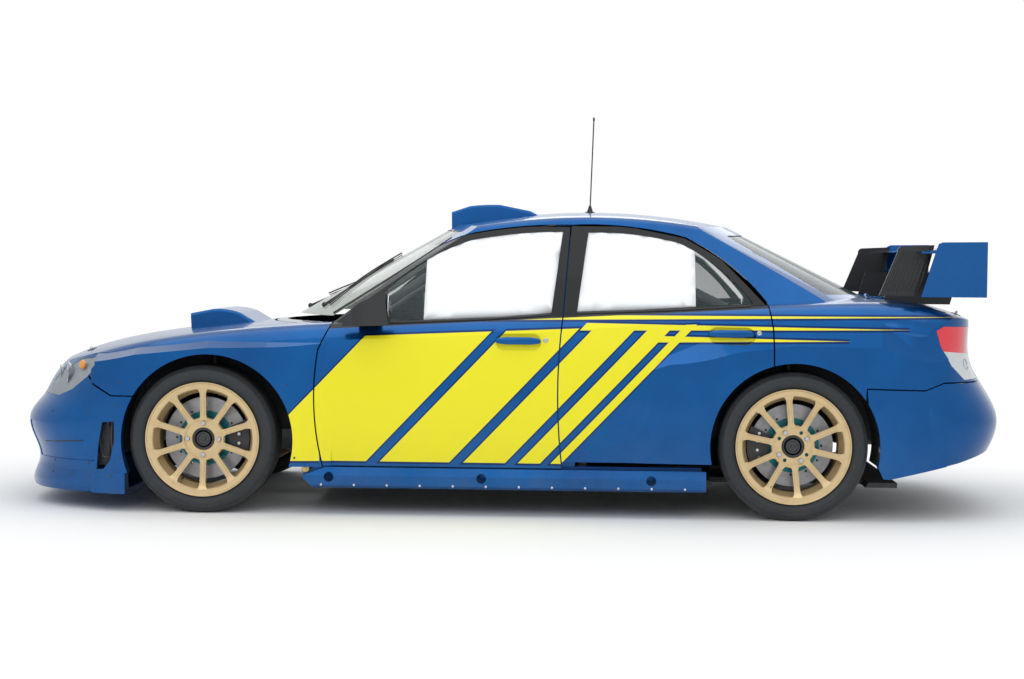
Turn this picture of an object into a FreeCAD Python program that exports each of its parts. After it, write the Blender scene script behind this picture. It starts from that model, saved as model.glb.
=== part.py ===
"""Rally car: a four-door saloon prepared for asphalt stages, as an assembly of separate pieces.

Millimetres.  +X is forward, +Y is the car's left and +Z is up.  The origin is on the ground,
halfway between the bumpers' ends and midway between the two sides.
"""
import FreeCAD, Part
import math
import os
from FreeCAD import Placement, Rotation, Vector

os.makedirs("parts", exist_ok=True)
doc = FreeCAD.newDocument("RallyCar")

# ------------------------------------------------------------------ driving dimensions
SIZES = [
    # alias, value, what it is
    ("overall_length", 4425, "bumper to bumper"),
    ("wheelbase", 2540, "front axle to rear axle"),
    ("front_overhang", 905, "front axle to the nose"),
    ("flare_half_width", 900, "centre line to the widest point of an arch flare"),
    ("rim_radius", 247, "outside of a rim flange"),
    ("rim_width", 218, "rim between the outsides of its flanges"),
    ("tyre_height", 71, "rim flange to the tread"),
    ("tyre_width", 235, "tyre section width"),
    ("tyre_inset", 16.5, "an arch flare's widest point to the tyre's outer side"),
    ("front_arch_room", 54, "front tyre to its arch's edge"),
    ("rear_arch_room", 43, "rear tyre to its arch's edge"),
    ("front_arch_shift", -22.5, "front axle to the arch's centre, forward"),
    ("rear_arch_shift", -4.5, "rear axle to the arch's centre, forward"),
    ("arch_drop", 3, "arch centres below the axles"),
    ("front_tub_room", 84, "front tyre to its inner arch"),
    ("rear_tub_room", 54, "rear tyre to its inner arch"),
    ("tub_wall", 8, "thickness of an inner arch"),
    ("skin", 12, "thickness of bumpers, wings and quarter panels"),
    ("lid_wall", 22, "thickness of bonnet, boot lid and roof"),
    ("door_wall", 60, "thickness of doors and pillars"),
    ("shut_gap", 6, "gap between neighbouring panels"),
    ("glass_wall", 5, "thickness of the glazing"),
    ("screen_radius", 2000, "windscreen curve across the car"),
    ("back_glass_radius", 1900, "rear window curve across the car"),
    ("pillar_wall", 45, "thickness of the pillars and of the rails over the doors"),
    ("floor_wall", 22, "thickness of the floor"),
    ("seat_width", 460, "outside width of a seat"),
    ("cage_radius", 20, "roll cage tube"),
    ("pane_seat", 0.3, "bonded joint between a panel or pane and what carries it"),
    ("hub_bore", 33, "radius of the hole through a wheel's centre"),
    ("spoke_count", 10, "spokes of a wheel"),
    ("spoke_width", 25, "width of a spoke"),
    ("lug_count", 4, "wheel nuts"),
    ("lug_radius", 68, "wheel's centre to the middle of a nut hole"),
    ("lug_hole", 8, "radius of a nut hole"),
    ("rear_wheel_turn", -30.2, "degrees that the rear wheels stand turned from the front ones"),
    ("jack_bore", 21, "radius of a jack socket"),
    ("jack_z", 165, "height of the jack sockets"),
    ("tail_bore", 34, "inside radius of the tail pipe"),
    ("disc_room", 21, "brake disc's edge to the inside of the rim"),
    ("disc_wall", 28, "brake disc thickness"),
    ("running_gap", 0.1, "clearance between a turning piece and its seat"),
]
sheet = doc.addObject("Spreadsheet::Sheet", "Sizes")
for row, (alias, value, words) in enumerate(SIZES, 1):
    sheet.set(f"A{row}", words)
    sheet.set(f"B{row}", str(value))
    sheet.setAlias(f"B{row}", alias)
doc.recompute()


def size(alias):
    """The value of one cell of the sheet."""
    return float(sheet.get(alias))


LENGTH = size("overall_length")
NOSE_X = LENGTH / 2
TAIL_X = -LENGTH / 2
FRONT_AXLE_X = NOSE_X - size("front_overhang")
REAR_AXLE_X = FRONT_AXLE_X - size("wheelbase")
R, HW = size("rim_radius"), size("rim_width") / 2
T, TW = R + size("tyre_height"), size("tyre_width") / 2
AXLE_Z = T
FLARE_WIDE = size("flare_half_width")
WHEEL_Y = FLARE_WIDE - size("tyre_inset") - TW
SKIN, LID, DOOR = size("skin"), size("lid_wall"), size("door_wall")
PILLAR = size("pillar_wall")
GAP = size("shut_gap")
PANE_SEAT = size("pane_seat")
FAR = 1200.0          # beyond the car's side, above its roof or under its floor
features = []

# ------------------------------------------------------------------ from the drawing to the car
# The body is drawn once, with its nose, axles and tail at these distances along it, its flares at this
# half width and its axles at this height.  Each drawn point goes where the sizes put it.
FRONT_AT, REAR_AT, FLARE_AT, AXLE_AT = 1307.5, -1232.5, 900.0, 318.0
ZONE = 480.0                        # each axle keeps what is drawn this far before and behind it
DRAWN_X = (2212.5, FRONT_AT + ZONE, FRONT_AT - ZONE, REAR_AT + ZONE, REAR_AT - ZONE, -2212.5)
PLACED_X = (NOSE_X, FRONT_AXLE_X + ZONE, FRONT_AXLE_X - ZONE, REAR_AXLE_X + ZONE, REAR_AXLE_X - ZONE, TAIL_X)
drawing = {"of the car": True}      # a wheel is drawn in its own frame, where nothing is shifted


def along(x):
    """A drawn distance along the car: what lies by an axle moves with it, and the rest stretches."""
    if not drawing["of the car"]:
        return x
    i = sum(x <= at for at in DRAWN_X[1:-1])
    share = (PLACED_X[i + 1] - PLACED_X[i]) / (DRAWN_X[i + 1] - DRAWN_X[i])
    return PLACED_X[i] + (x - DRAWN_X[i]) * share


def across(y):
    """A drawn distance from the centre line, in proportion to the width."""
    return y * FLARE_WIDE / FLARE_AT if drawing["of the car"] else y


def bow(radius):
    """The radius of a curve across the car, which keeps its depth when the car's width changes."""
    return radius * (FLARE_WIDE / FLARE_AT) ** 2


def upward(z):
    """A drawn height: the body rides on its tyres."""
    return z + AXLE_Z - AXLE_AT if drawing["of the car"] else z


def spot(x, y, z):
    return Vector(along(x), across(y), upward(z))


# ------------------------------------------------------------------ small helpers
def add(label, shape, placement=None):
    """A sub-part whose shape is worked out from the sizes."""
    thing = doc.addObject("Part::Feature", label)
    thing.Label = label
    thing.Shape = shape
    if placement is not None:
        thing.Placement = placement
    features.append(thing)
    return thing


def box(x0, x1, y0, y1, z0, z1):
    low, high = spot(x0, y0, z0), spot(x1, y1, z1)
    return Part.makeBox(high.x - low.x, high.y - low.y, high.z - low.z, low)


def tube_along_y(x, z, radius, y0, y1):
    low, high = spot(x, y0, z), spot(x, y1, z)
    return Part.makeCylinder(radius, high.y - low.y, low, Y_WAY)


def bar(start, end, radius):
    """A round bar between two points of the car itself."""
    return Part.makeCylinder(radius, (end - start).Length, start, end - start)


def rod(start, end, radius):
    """A round bar between two drawn points."""
    return bar(spot(*start), spot(*end), radius)


X_WAY, Y_WAY, Z_WAY = Vector(1, 0, 0), Vector(0, 1, 0), Vector(0, 0, 1)
# for each drawing plane: the direction and the placing of its two coordinates and of its normal
FORE, SIDE, RISE = (X_WAY, along), (Y_WAY, across), (Z_WAY, upward)
PLANES = {"XZ": (FORE, RISE, SIDE), "XY": (FORE, SIDE, RISE), "YZ": (SIDE, RISE, FORE)}


def outline(plane, steps):
    """A face in a plane: a step (a, b) is a straight run, (a, b, am, bm) an arc that passes (am, bm)."""
    (first, place_first), (second, place_second), normal = PLANES[plane]

    def put(a, b):
        return first * place_first(a) + second * place_second(b)

    edges, here = [], put(*steps[0][:2])
    for step in steps[1:] + [steps[0][:2]]:
        there = put(*step[:2])
        if (there - here).Length < 1e-6:
            continue
        if len(step) == 4:
            edges.append(Part.Arc(here, put(*step[2:]), there).toShape())
        else:
            edges.append(Part.makeLine(here, there))
        here = there
    return Part.Face(Part.Wire(edges))


def pulled(face, plane, low, high):
    """A face, pulled along its plane's normal from low to high."""
    way, place = PLANES[plane][2]
    face.translate(way * place(low))
    return face.extrude(way * (place(high) - place(low)))


def prism(plane, steps, low, high):
    return pulled(outline(plane, steps), plane, low, high)


def grown(plane, steps, low, high, by):
    """The same as a prism, from the outline offset outwards by the given amount."""
    wire = outline(plane, steps).OuterWire.makeOffset2D(by)
    return pulled(Part.Face(wire), plane, low, high)


def fuse(shapes):
    shapes = list(shapes)
    return shapes[0].multiFuse(shapes[1:]) if len(shapes) > 1 else shapes[0]


def mirrored(shape):
    """The same piece on the car's other side."""
    return shape.mirror(Vector(0, 0, 0), Vector(0, 1, 0))


def largest(shape):
    """The main solid of a shape, without crumbs."""
    return max(shape.Solids, key=lambda s: s.Volume)


# ------------------------------------------------------------------ the body's outer form
# Plan outlines of the lower body, one per height.
# z, nose x, nose radius, front corner radius, half width, tail x, tail radius, rear corner radius
LEVELS = [
    (60, 2180, 2300, 480, 838, -2078, 2600, 360),
    (170, 2180, 2300, 480, 852, -2112, 2600, 360),
    (300, 2200, 2300, 470, 866, -2178, 2600, 350),
    (400, DRAWN_X[0], 2300, 470, 873, DRAWN_X[-1], 2600, 340),
    (480, 2156, 2200, 480, 876, -2196, 2600, 330),
    (560, 2114, 2100, 520, 876, -2150, 2600, 320),
    (640, 2050, 2000, 560, 874, -2102, 2600, 310),
    (740, 1960, 2000, 560, 868, -2078, 2600, 300),
    (960, 1800, 2000, 520, 840, -1998, 2600, 280),
]
SIDE_RADIUS = 90000.0   # the body side's own gentle bulge in plan
SIDE_MID_X = -60.0      # the widest point of that bulge


def corner_circle(end_x, end_r, half_w, corner_r, way):
    """Centre of the corner arc and its touching points with the end arc and the side arc."""
    c_end = (end_x - way * end_r, 0.0)
    c_side = (along(SIDE_MID_X), half_w - SIDE_RADIUS)
    r1, r2 = end_r - corner_r, SIDE_RADIUS - corner_r
    dx, dy = c_side[0] - c_end[0], c_side[1] - c_end[1]
    d = math.hypot(dx, dy)
    run = (r1 * r1 - r2 * r2 + d * d) / (2 * d)
    off = math.sqrt(r1 * r1 - run * run)
    ux, uy = dx / d, dy / d
    options = [(c_end[0] + run * ux - s * off * uy, c_end[1] + run * uy + s * off * ux) for s in (1, -1)]
    centre = max(options, key=lambda p: way * p[0])

    def reach(origin, radius):
        vx, vy = centre[0] - origin[0], centre[1] - origin[1]
        n = math.hypot(vx, vy)
        return origin[0] + vx / n * radius, origin[1] + vy / n * radius

    on_end, on_side = reach(c_end, end_r), reach(c_side, SIDE_RADIUS)
    mid = ((on_end[0] + on_side[0]) / 2 - centre[0], (on_end[1] + on_side[1]) / 2 - centre[1])
    n = math.hypot(*mid)
    middle = (centre[0] + mid[0] / n * corner_r, centre[1] + mid[1] / n * corner_r)
    return on_end, middle, on_side


def plan_wire(z, nose_x, nose_r, front_r, half_w, tail_x, tail_r, rear_r, inset):
    z, half_w = upward(z), across(half_w) - inset
    nose_x, nose_r, front_r = along(nose_x) - inset, bow(nose_r) - inset, front_r - inset
    tail_x, tail_r, rear_r = along(tail_x) + inset, bow(tail_r) - inset, rear_r - inset
    f_end, f_mid, f_side = corner_circle(nose_x, nose_r, half_w, front_r, 1)
    r_end, r_mid, r_side = corner_circle(tail_x, tail_r, half_w, rear_r, -1)
    widest = (along(SIDE_MID_X), half_w)

    def p(point, side=1):
        return Vector(point[0], side * point[1], z)

    def arc(a, b, c):
        return Part.Arc(a, b, c).toShape()

    return Part.Wire([
        arc(p(f_end, -1), Vector(nose_x, 0, z), p(f_end)),
        arc(p(f_end), p(f_mid), p(f_side)),
        arc(p(f_side), p(widest), p(r_side)),
        arc(p(r_side), p(r_mid), p(r_end)),
        arc(p(r_end), Vector(tail_x, 0, z), p(r_end, -1)),
        arc(p(r_end, -1), p(r_mid, -1), p(r_side, -1)),
        arc(p(r_side, -1), p(widest, -1), p(f_side, -1)),
        arc(p(f_side, -1), p(f_mid, -1), p(f_end, -1)),
    ])


# Cross-sections of the body's top below the windows, one per station.
# x, height on the centre line, height at the edge of the crown, half width of the crown, shoulder radius
TOPS = [
    (2260, 500, 430, 560, 130),
    (2060, 640, 575, 620, 128),
    (1720, 744, 706, 705, 126),
    (1300, 800, 780, 745, 125),
    (820, 842, 822, 755, 125),
    (0, 886, 862, 757, 125),
    (-800, 930, 906, 755, 125),
    (-1400, 953, 932, 742, 125),
    (-1820, 938, 915, 715, 125),
    (-2030, 880, 845, 690, 125),
    (-2260, 770, 725, 650, 125),
]


def top_wire(x, z_mid, z_edge, y_edge, shoulder, inset):
    x, z_mid, z_edge = along(x), upward(z_mid) - inset, upward(z_edge) - inset
    y_edge, shoulder = across(y_edge), shoulder - inset / 2
    rise = z_mid - z_edge
    crown_r = (y_edge ** 2 + rise ** 2) / (2 * rise)
    lean = math.asin(y_edge / crown_r)
    cy, cz = y_edge - shoulder * math.sin(lean), z_edge - shoulder * math.cos(lean)
    end_turn = math.radians(88)
    mid_turn = (lean + end_turn) / 2
    low = -60.0
    m, e = [(cy + shoulder * math.sin(a), cz + shoulder * math.cos(a)) for a in (mid_turn, end_turn)]
    wide = e[0] + 260.0
    drop = e[1] - 430.0

    def p(y, z):
        return Vector(x, y, z)

    return Part.Wire([
        Part.makeLine(p(-wide, low), p(wide, low)),
        Part.makeLine(p(wide, low), p(wide, drop)),
        Part.makeLine(p(wide, drop), p(*e)),
        Part.Arc(p(*e), p(*m), p(y_edge, z_edge)).toShape(),
        Part.Arc(p(y_edge, z_edge), p(0, z_mid), p(-y_edge, z_edge)).toShape(),
        Part.Arc(p(-y_edge, z_edge), p(-m[0], m[1]), p(-e[0], e[1])).toShape(),
        Part.makeLine(p(-e[0], e[1]), p(-wide, drop)),
        Part.makeLine(p(-wide, drop), p(-wide, low)),
    ])


# Cross-sections of the cabin, one per station, before windscreen and rear window cut it off.
# x, roof height on the centre line, rail height, half width at the rail, half width at the belt
CABIN = [
    (1250, 1130, 1060, 470, 726),
    (300, 1262, 1196, 552, 786),
    (-350, 1329, 1264, 576, 800),
    (-1000, 1262, 1198, 552, 782),
    (-1900, 1020, 960, 470, 690),
]
BELT_Z, CABIN_LOW, RAIL_RADIUS, SIDE_BOW = 820.0, 760.0, 70.0, 12.0


def cabin_wire(x, z_mid, z_rail, y_rail, y_belt, inset):
    x, z_mid, z_rail = along(x), upward(z_mid) - inset, upward(z_rail) - inset * 0.8
    y_rail, y_belt = across(y_rail) - inset * 0.9, across(y_belt) - inset * 1.08
    z_belt, z_low = upward(BELT_Z), upward(CABIN_LOW)
    y_low = y_belt + (y_rail - y_belt) / (z_rail - z_belt) * (z_low - z_belt)
    y_top = y_rail - RAIL_RADIUS * 0.75
    z_top = z_rail + (z_mid - z_rail) * 0.52
    y_bend = y_rail - RAIL_RADIUS * 0.22
    z_bend = z_rail + (z_top - z_rail) * 0.62

    def p(y, z):
        return Vector(x, y, z)

    def mid(side):
        return p(side * ((y_rail + y_low) / 2 + SIDE_BOW), (z_rail + z_low) / 2)

    return Part.Wire([
        Part.makeLine(p(-y_low, z_low), p(y_low, z_low)),
        Part.Arc(p(y_low, z_low), mid(1), p(y_rail, z_rail)).toShape(),
        Part.Arc(p(y_rail, z_rail), p(y_bend, z_bend), p(y_top, z_top)).toShape(),
        Part.Arc(p(y_top, z_top), p(0, z_mid), p(-y_top, z_top)).toShape(),
        Part.Arc(p(-y_top, z_top), p(-y_bend, z_bend), p(-y_rail, z_rail)).toShape(),
        Part.Arc(p(-y_rail, z_rail), mid(-1), p(-y_low, z_low)).toShape(),
    ])


SCREEN_BASE, SCREEN_TOP = (1062, 820), (281, 1259)      # centre line of the windscreen, x and z
BACK_BASE, BACK_TOP = (-1646, 943), (-1008, 1256)       # centre line of the rear window


def screen_cylinder(base, top, radius, inset):
    """The space behind a curved window: a cylinder whose outermost line runs from base to top."""
    radius, foot, head = bow(radius), spot(base[0], 0, base[1]), spot(top[0], 0, top[1])
    slope = (head - foot).normalize()
    inward = Vector(slope.z, 0, -slope.x) * (1 if slope.x > 0 else -1)
    if inward.z > 0:
        inward = inward * -1
    start = foot + inward * radius - slope * 1500
    return Part.makeCylinder(radius - inset, 4500, start, slope)


def lower_body(inset):
    sides = Part.makeLoft([plan_wire(*level, inset) for level in LEVELS], True, False)
    top = Part.makeLoft([top_wire(*station, inset) for station in TOPS], True, False)
    return sides.common(top)


def cabin_tube(inset):
    return Part.makeLoft([cabin_wire(*station, inset) for station in CABIN], True, False)


def cabin(inset):
    tube = cabin_tube(inset)
    front = screen_cylinder(SCREEN_BASE, SCREEN_TOP, size("screen_radius"), inset)
    rear = screen_cylinder(BACK_BASE, BACK_TOP, size("back_glass_radius"), inset)
    return tube.common(front).common(rear)


# ------------------------------------------------------------------ flares, and the forms all panels share
ARCHES = [
    # centre x, opening radius
    (FRONT_AT + size("front_arch_shift"), T + size("front_arch_room")),
    (REAR_AT + size("rear_arch_shift"), T + size("rear_arch_room")),
]
ARCH_Z = AXLE_AT - size("arch_drop")

# The widened side over each arch: its outline in plan, and along it the line where its top slope starts
# (upper y, upper z) and the height of the crease that the slope runs out to at the widest point.
FLARE_PLANS = [
    [(750, 700), (750, 862), (985, FLARE_AT - 5, 872, 884), (1590, FLARE_AT - 5, 1285, FLARE_AT),
     (1800, 838, 1708, 876), (1800, 700)],
    [(-540, 700), (-540, 864), (-880, FLARE_AT - 6, -700, 882), (-1580, FLARE_AT - 6, -1237, FLARE_AT),
     (-1890, 826, -1750, 874), (-1890, 700)],
]
FLARE_SLOPES = [
    [(720, 745, 822, 722), (1285, 745, 778, 714), (1600, 735, 722, 680), (1830, 700, 672, 622)],
    [(-520, 850, 640, 500), (-700, 850, 760, 610), (-1000, 850, 838, 716), (-1237, 850, 862, 752),
     (-1600, 846, 850, 735), (-1900, 800, 730, 560)],
]


def flare_section(x, y_up, z_up, z_crease):
    wide = FLARE_AT + 60
    z_wide = z_up + (z_crease - z_up) * (wide - y_up) / (FLARE_AT - y_up)
    corners = [(600, 60), (wide, 60), (wide, z_wide), (y_up, z_up), (600, z_up)]
    return Part.makePolygon([spot(x, y, z) for y, z in corners + corners[:1]])


def flares():
    made = []
    for plan, slopes in zip(FLARE_PLANS, FLARE_SLOPES):
        under = Part.makeLoft([flare_section(*slope) for slope in slopes], True, True)
        wide = prism("XY", plan, 60, 1000).common(under)
        made += [wide, mirrored(wide)]
    return made


lower = {t: lower_body(t) for t in (0, SKIN, LID, DOOR)}
upper = {t: cabin(t) for t in (0, LID, PILLAR)}
OUT = lower[0].multiFuse([upper[0]] + flares())
IN_SKIN = lower[SKIN].fuse(upper[PILLAR])
IN_DOOR = lower[DOOR].fuse(upper[PILLAR])
skin_shell = OUT.cut(IN_SKIN)
door_shell = OUT.cut(IN_DOOR)
frame_shell = OUT.cut(lower_body(DOOR + 2).fuse(cabin(PILLAR + 2)))
lid_shell = lower[0].cut(lower[LID])
arch_cut = fuse([tube_along_y(x, ARCH_Z, radius, -FAR, FAR) for x, radius in ARCHES])


def skin_y(x, z):
    """How far out the car's skin lies at a drawn point seen from the side."""
    crossed = Part.makeLine(spot(x, 300, z), spot(x, 1150, z)).common(OUT)
    return crossed.BoundBox.YMax


# ------------------------------------------------------------------ outlines seen from the side
FRONT_WINDOW = [
    (684, 826), (477, 1021), (171, 1190, 342, 1114), (-236, 1231, -48, 1222), (-192, 877), (29, 858),
]
REAR_WINDOW = [
    (-302, 884), (-347, 1229), (-747, 1186, -560, 1220), (-1066, 925, -893, 1099), (-573, 895),
]
FRONT_DOOR = [
    (783, 212), (806, 710, 821, 470), (752, 831), (708, 866), (493, 1041),
    (181, 1214, 361, 1137), (-268, 1257, -44, 1248), (-240, 865), (-242, 212, -221, 550),
]
REAR_DOOR = [
    (-248, 212), (-246, 865, -227, 550), (-274, 1257), (-770, 1208, -573, 1246),
    (-1120, 930, -925, 1117), (-1138, 817), (-1141, 640), (-1141, 212),
]
HEADLAMP = [
    (2300, 500), (2300, 572), (2032, 548), (1990, 596), (1880, 651), (1786, 662), (1783, 634),
    (1837, 575), (1904, 521), (1972, 492),
]
TAIL_LAMP = [
    (-1838, 819), (-1872, 837), (-2300, 826), (-2300, 616), (-1971, 608), (-1910, 668), (-1857, 754),
]
BUMPER_TOP = 598.0


def swing_room(hinge_x, hinge_y, edge, spare):
    """Everything a door may fill and still swing out past its trailing edge: turned about its hinge line."""
    hinge = spot(hinge_x, hinge_y, 0)
    points = [(math.hypot(along(x) - hinge.x, skin_y(x, z) - hinge.y) + spare, upward(z)) for x, z in edge]
    low, high = points[0][1] - 60, points[-1][1] + 12
    ring = [Vector(0, 0, low), Vector(points[0][0], 0, low)] + [Vector(r, 0, z) for r, z in points]
    ring += [Vector(points[-1][0], 0, high), Vector(0, 0, high), Vector(0, 0, low)]
    room = Part.Face(Part.makePolygon(ring)).revolve(Vector(0, 0, 0), Z_WAY, 360)
    room.translate(Vector(hinge.x, hinge.y, 0))
    return room


FRONT_HINGE = (824.0, 874.0)
REAR_HINGE = (-222.0, 876.0)
FRONT_TRAIL = [(-242, 230), (-224, 400), (-221, 550), (-226, 710), (-240, 840), (-268, 1240)]
REAR_TRAIL = [
    (-1141, 300), (-1141, 640), (-1138, 817), (-1122, 920), (-925, 1117), (-770, 1206), (-573, 1244),
]

BONNET_PLAN = [
    (936, -652), (1300, -672), (1700, -664), (1960, -560), (2300, -520), (2300, 520),
    (1960, 560), (1700, 664), (1300, 672), (936, 652), (936, -652, 1118, 0),
]
BOOT_PLAN = [(-1606, -560, -1650, 0), (-1606, 560), (-1800, 600), (-2300, 600), (-2300, -600), (-1800, -600)]
ROOF_PLAN = [(420, -498), (420, 498), (-350, 520), (-1150, 498), (-1150, -498), (-350, -520)]


# ------------------------------------------------------------------ panels
head_hole = grown("XZ", HEADLAMP, 439.4, FAR, 0.6)
tail_hole = grown("XZ", TAIL_LAMP, 559.4, FAR, 0.6)
lamp_holes = fuse([head_hole, mirrored(head_hole), tail_hole, mirrored(tail_hole)])

bonnet_space = prism("XY", BONNET_PLAN, 380, 1000).common(box(800, 2300, -FAR, FAR, BUMPER_TOP + GAP, 1000))
bonnet_room = grown("XY", BONNET_PLAN, 380, 1000, GAP).common(box(700, 2310, -FAR, FAR, BUMPER_TOP, 1000))
boot_space = prism("XY", BOOT_PLAN, 300, 1000).common(box(-2300, -1500, -FAR, FAR, 640, 1000))
boot_room = grown("XY", BOOT_PLAN, 300, 1000, GAP).common(box(-2310, -1500, -FAR, FAR, 640 - GAP, 1000))

roof_space, roof_room = prism("XY", ROOF_PLAN, 1150, 1500), grown("XY", ROOF_PLAN, 1100, 1500, 2)
roof_seat = grown("XY", ROOF_PLAN, 1100, 1500, PANE_SEAT)
front_door_hole = grown("XZ", FRONT_DOOR, 400, FAR, GAP)
rear_door_hole = grown("XZ", REAR_DOOR, 400, FAR, GAP)

SCREEN_HOLE = [(-641, 700), (-641, 850), (-484, 1200, -573, 1050), (-460, 1232), (460, 1232, 0, 1240),
               (484, 1200), (641, 850, 573, 1050), (641, 700)]
SCREEN_PANE = [(-641, 852), (-484, 1200, -573, 1050), (-460, 1232), (460, 1232, 0, 1240),
               (484, 1200), (641, 852, 573, 1050)]
BACK_HOLE = [(-585, 966), (-462, 1190), (-430, 1222), (430, 1222, 0, 1228), (462, 1190), (585, 966),
             (-585, 966, 0, 962)]

screen_hole, back_hole = prism("YZ", SCREEN_HOLE, 60, 1400), prism("YZ", BACK_HOLE, -2000, -700)
HANDLE_FRONT, HANDLE_REAR = (-53, 756), (-962, 796)      # middle of each door's grip, x and z


def grip_recess(x, z):
    """A rounded hollow that a hand reaches into behind a door's grip."""
    middle = spot(x, 0, z)
    middle.y = skin_y(x, z) + 27
    ends = [middle - X_WAY * 62, middle + X_WAY * 62]
    return fuse([bar(*ends, 45)] + [Part.makeSphere(45, end) for end in ends])


def door(steps, window, hinge, trail, handle):
    body = door_shell.common(prism("XZ", steps, 400, FAR)).cut(arch_cut)
    body = body.cut(grip_recess(*handle)).cut(roof_room).cut(grown("YZ", SCREEN_HOLE, 60, 1400, 3))
    body = body.cut(prism("XZ", window, 400, FAR))
    thin = upper[LID].common(box(-1300, 900, 0, FAR, 930, 1300))
    body = body.cut(thin)
    return largest(body.common(swing_room(*hinge, trail, 1.0)))


# ------------------------------------------------------------------ doors and glazing
front_door = door(FRONT_DOOR, FRONT_WINDOW, FRONT_HINGE, FRONT_TRAIL, HANDLE_FRONT)
rear_door = door(REAR_DOOR, REAR_WINDOW, REAR_HINGE, REAR_TRAIL, HANDLE_REAR)

glass_in = size("glass_wall") + 3
upper_3, upper_glass = cabin(3), cabin(glass_in)
glass_shell = upper_3.cut(upper_glass)


def pane(plane, steps, low, high):
    return largest(glass_shell.common(grown(plane, steps, low, high, -PANE_SEAT)))


windscreen = pane("YZ", SCREEN_PANE, 60, 1400)
rear_window = pane("YZ", BACK_HOLE, -2000, -700)
front_glass = pane("XZ", FRONT_WINDOW, 400, FAR)
rear_glass = pane("XZ", REAR_WINDOW, 400, FAR)

# ------------------------------------------------------------------ roof and side frames
roof_shell = upper[0].cut(upper[LID])
roof = largest(roof_shell.common(roof_space).cut(screen_hole).cut(back_hole))

FRONT_BUMPER = [
    (1600, 0), (1600, 499), (1706, 499), (1802, 552), (1850, BUMPER_TOP), (2400, BUMPER_TOP), (2400, 0),
]
FRONT_BUMPER_ROOM = [(1594, 0), (1594, 505), (1703, 505), (1797, 558), (1846, BUMPER_TOP + GAP),
                     (2400, BUMPER_TOP + GAP), (2400, 0)]
REAR_BUMPER = [
    (-1612, 188), (-1560, 300), (-1540, 568), (-1788, 562), (-1872, 594), (-2400, 594), (-2400, 420),
    (-2240, 345), (-2120, 296), (-1950, 250), (-1640, 186),
]
REAR_BUMPER_ROOM = [(-1500, 0), (-1536, 574), (-1790, 568), (-1874, 600), (-2400, 600), (-2400, 0)]
bumper_zone_front = prism("XZ", FRONT_BUMPER, -FAR, FAR)
bumper_zone_rear = prism("XZ", REAR_BUMPER, -FAR, FAR)
bumper_room_front = prism("XZ", FRONT_BUMPER_ROOM, -FAR, FAR)
bumper_room_rear = prism("XZ", REAR_BUMPER_ROOM, -FAR, FAR)

left = box(-3000, 3000, 0.2, FAR, -200, 1500)
upper_frame = upper[0].cut(upper[PILLAR]).common(left).cut(roof_seat).cut(screen_hole).cut(back_hole)
upper_frame = upper_frame.common(box(-1700, 1100, 0, FAR, 905, 1400).fuse(box(430, 900, 0, FAR, 815, 1400)))
QUARTER = [(-1080, 200), (-1080, 945), (-1200, 1100), (-2300, 1100), (-2300, 200)]
quarter = skin_shell.common(prism("XZ", QUARTER, 0.2, FAR))
quarter = quarter.cut(bumper_room_rear).cut(lamp_holes).cut(back_hole)
REAR_LIP = [(-1147, 500), (-1147, 900), (-1700, 900), (-1700, 200), (-1500, 200)]
lip = door_shell.common(prism("XZ", REAR_LIP, 797, FAR))
lip = lip.common(tube_along_y(ARCHES[1][0], ARCH_Z, ARCHES[1][1] + 22, 600, FAR)).cut(bumper_room_rear)
sill = box(-846, 880, 712, 798, 140, 215)
JACK_X = (757, 100, -628)
for x in JACK_X:
    sill = sill.cut(tube_along_y(x, size("jack_z"), size("jack_bore") + 4, 738, FAR))
post_a = box(812, 868, 722, 798, 140, 788)
post_b = cabin(LID + 6).cut(cabin(PILLAR + 13)).common(box(-300, -205, 300, FAR, 860, 1290))
post_b = post_b.fuse(box(-300, -205, 722, 794, 150, 880))
side_frame = fuse([upper_frame, quarter, lip, sill, post_a, post_b])
side_frame = side_frame.cut(front_door_hole.common(frame_shell)).cut(rear_door_hole.common(frame_shell))
HINGE_LEAVES = ((790, 850), (-262, -230))
leaf_room = lower_body(DOOR + PANE_SEAT)
leaves = [box(low, high, 760, FAR, z, z + 70).common(leaf_room)
          for low, high in HINGE_LEAVES for z in (300, 600)]
side_frame = largest(fuse([side_frame] + leaves).cut(boot_room).cut(arch_cut))

# ------------------------------------------------------------------ wings, bumpers, lids, lamps
COWL = [(700, -655), (700, 655), (922, 655), (922, -655, 1105, 0)]
FENDER = [(700, 206.5), (700, 900), (2300, 900), (2300, 400), (1500, 400), (1500, 206.5)]
fender = skin_shell.common(prism("XZ", FENDER, 300, FAR))
fender = fender.cut(front_door_hole).cut(bonnet_room).cut(bumper_room_front).cut(lamp_holes).cut(arch_cut)
behind_screen = screen_cylinder(SCREEN_BASE, SCREEN_TOP, size("screen_radius"), -2)
fender = fender.cut(behind_screen.common(box(0, 1400, -FAR, FAR, 780, 1400)))
fender = largest(fender.cut(cabin(-0.5)).cut(grown("XY", COWL, 780, 1000, 0.6)))

bonnet = largest(lid_shell.common(bonnet_space).cut(lamp_holes))
boot_lid = largest(lid_shell.common(boot_space).cut(lamp_holes))
HINGE_X, HINGE_Z = -1598, 962
for y in (-410, 350):
    leaf = box(HINGE_X - 92, HINGE_X, y + 2, y + 58, 952, 957)
    foot = box(HINGE_X - 92, HINGE_X - 16, y + 2, y + 58, 936, 957)
    boot_lid = boot_lid.fuse(leaf.fuse([foot, tube_along_y(HINGE_X, HINGE_Z, 7, y, y + 60)]))
boot_lid = largest(boot_lid)
cowl_space = prism("XY", COWL, 600, 1000)
cowl = lid_shell.common(cowl_space).cut(screen_cylinder(SCREEN_BASE, SCREEN_TOP, size("screen_radius"), -1))
cowl = largest(cowl.cut(bonnet_room))

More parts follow.
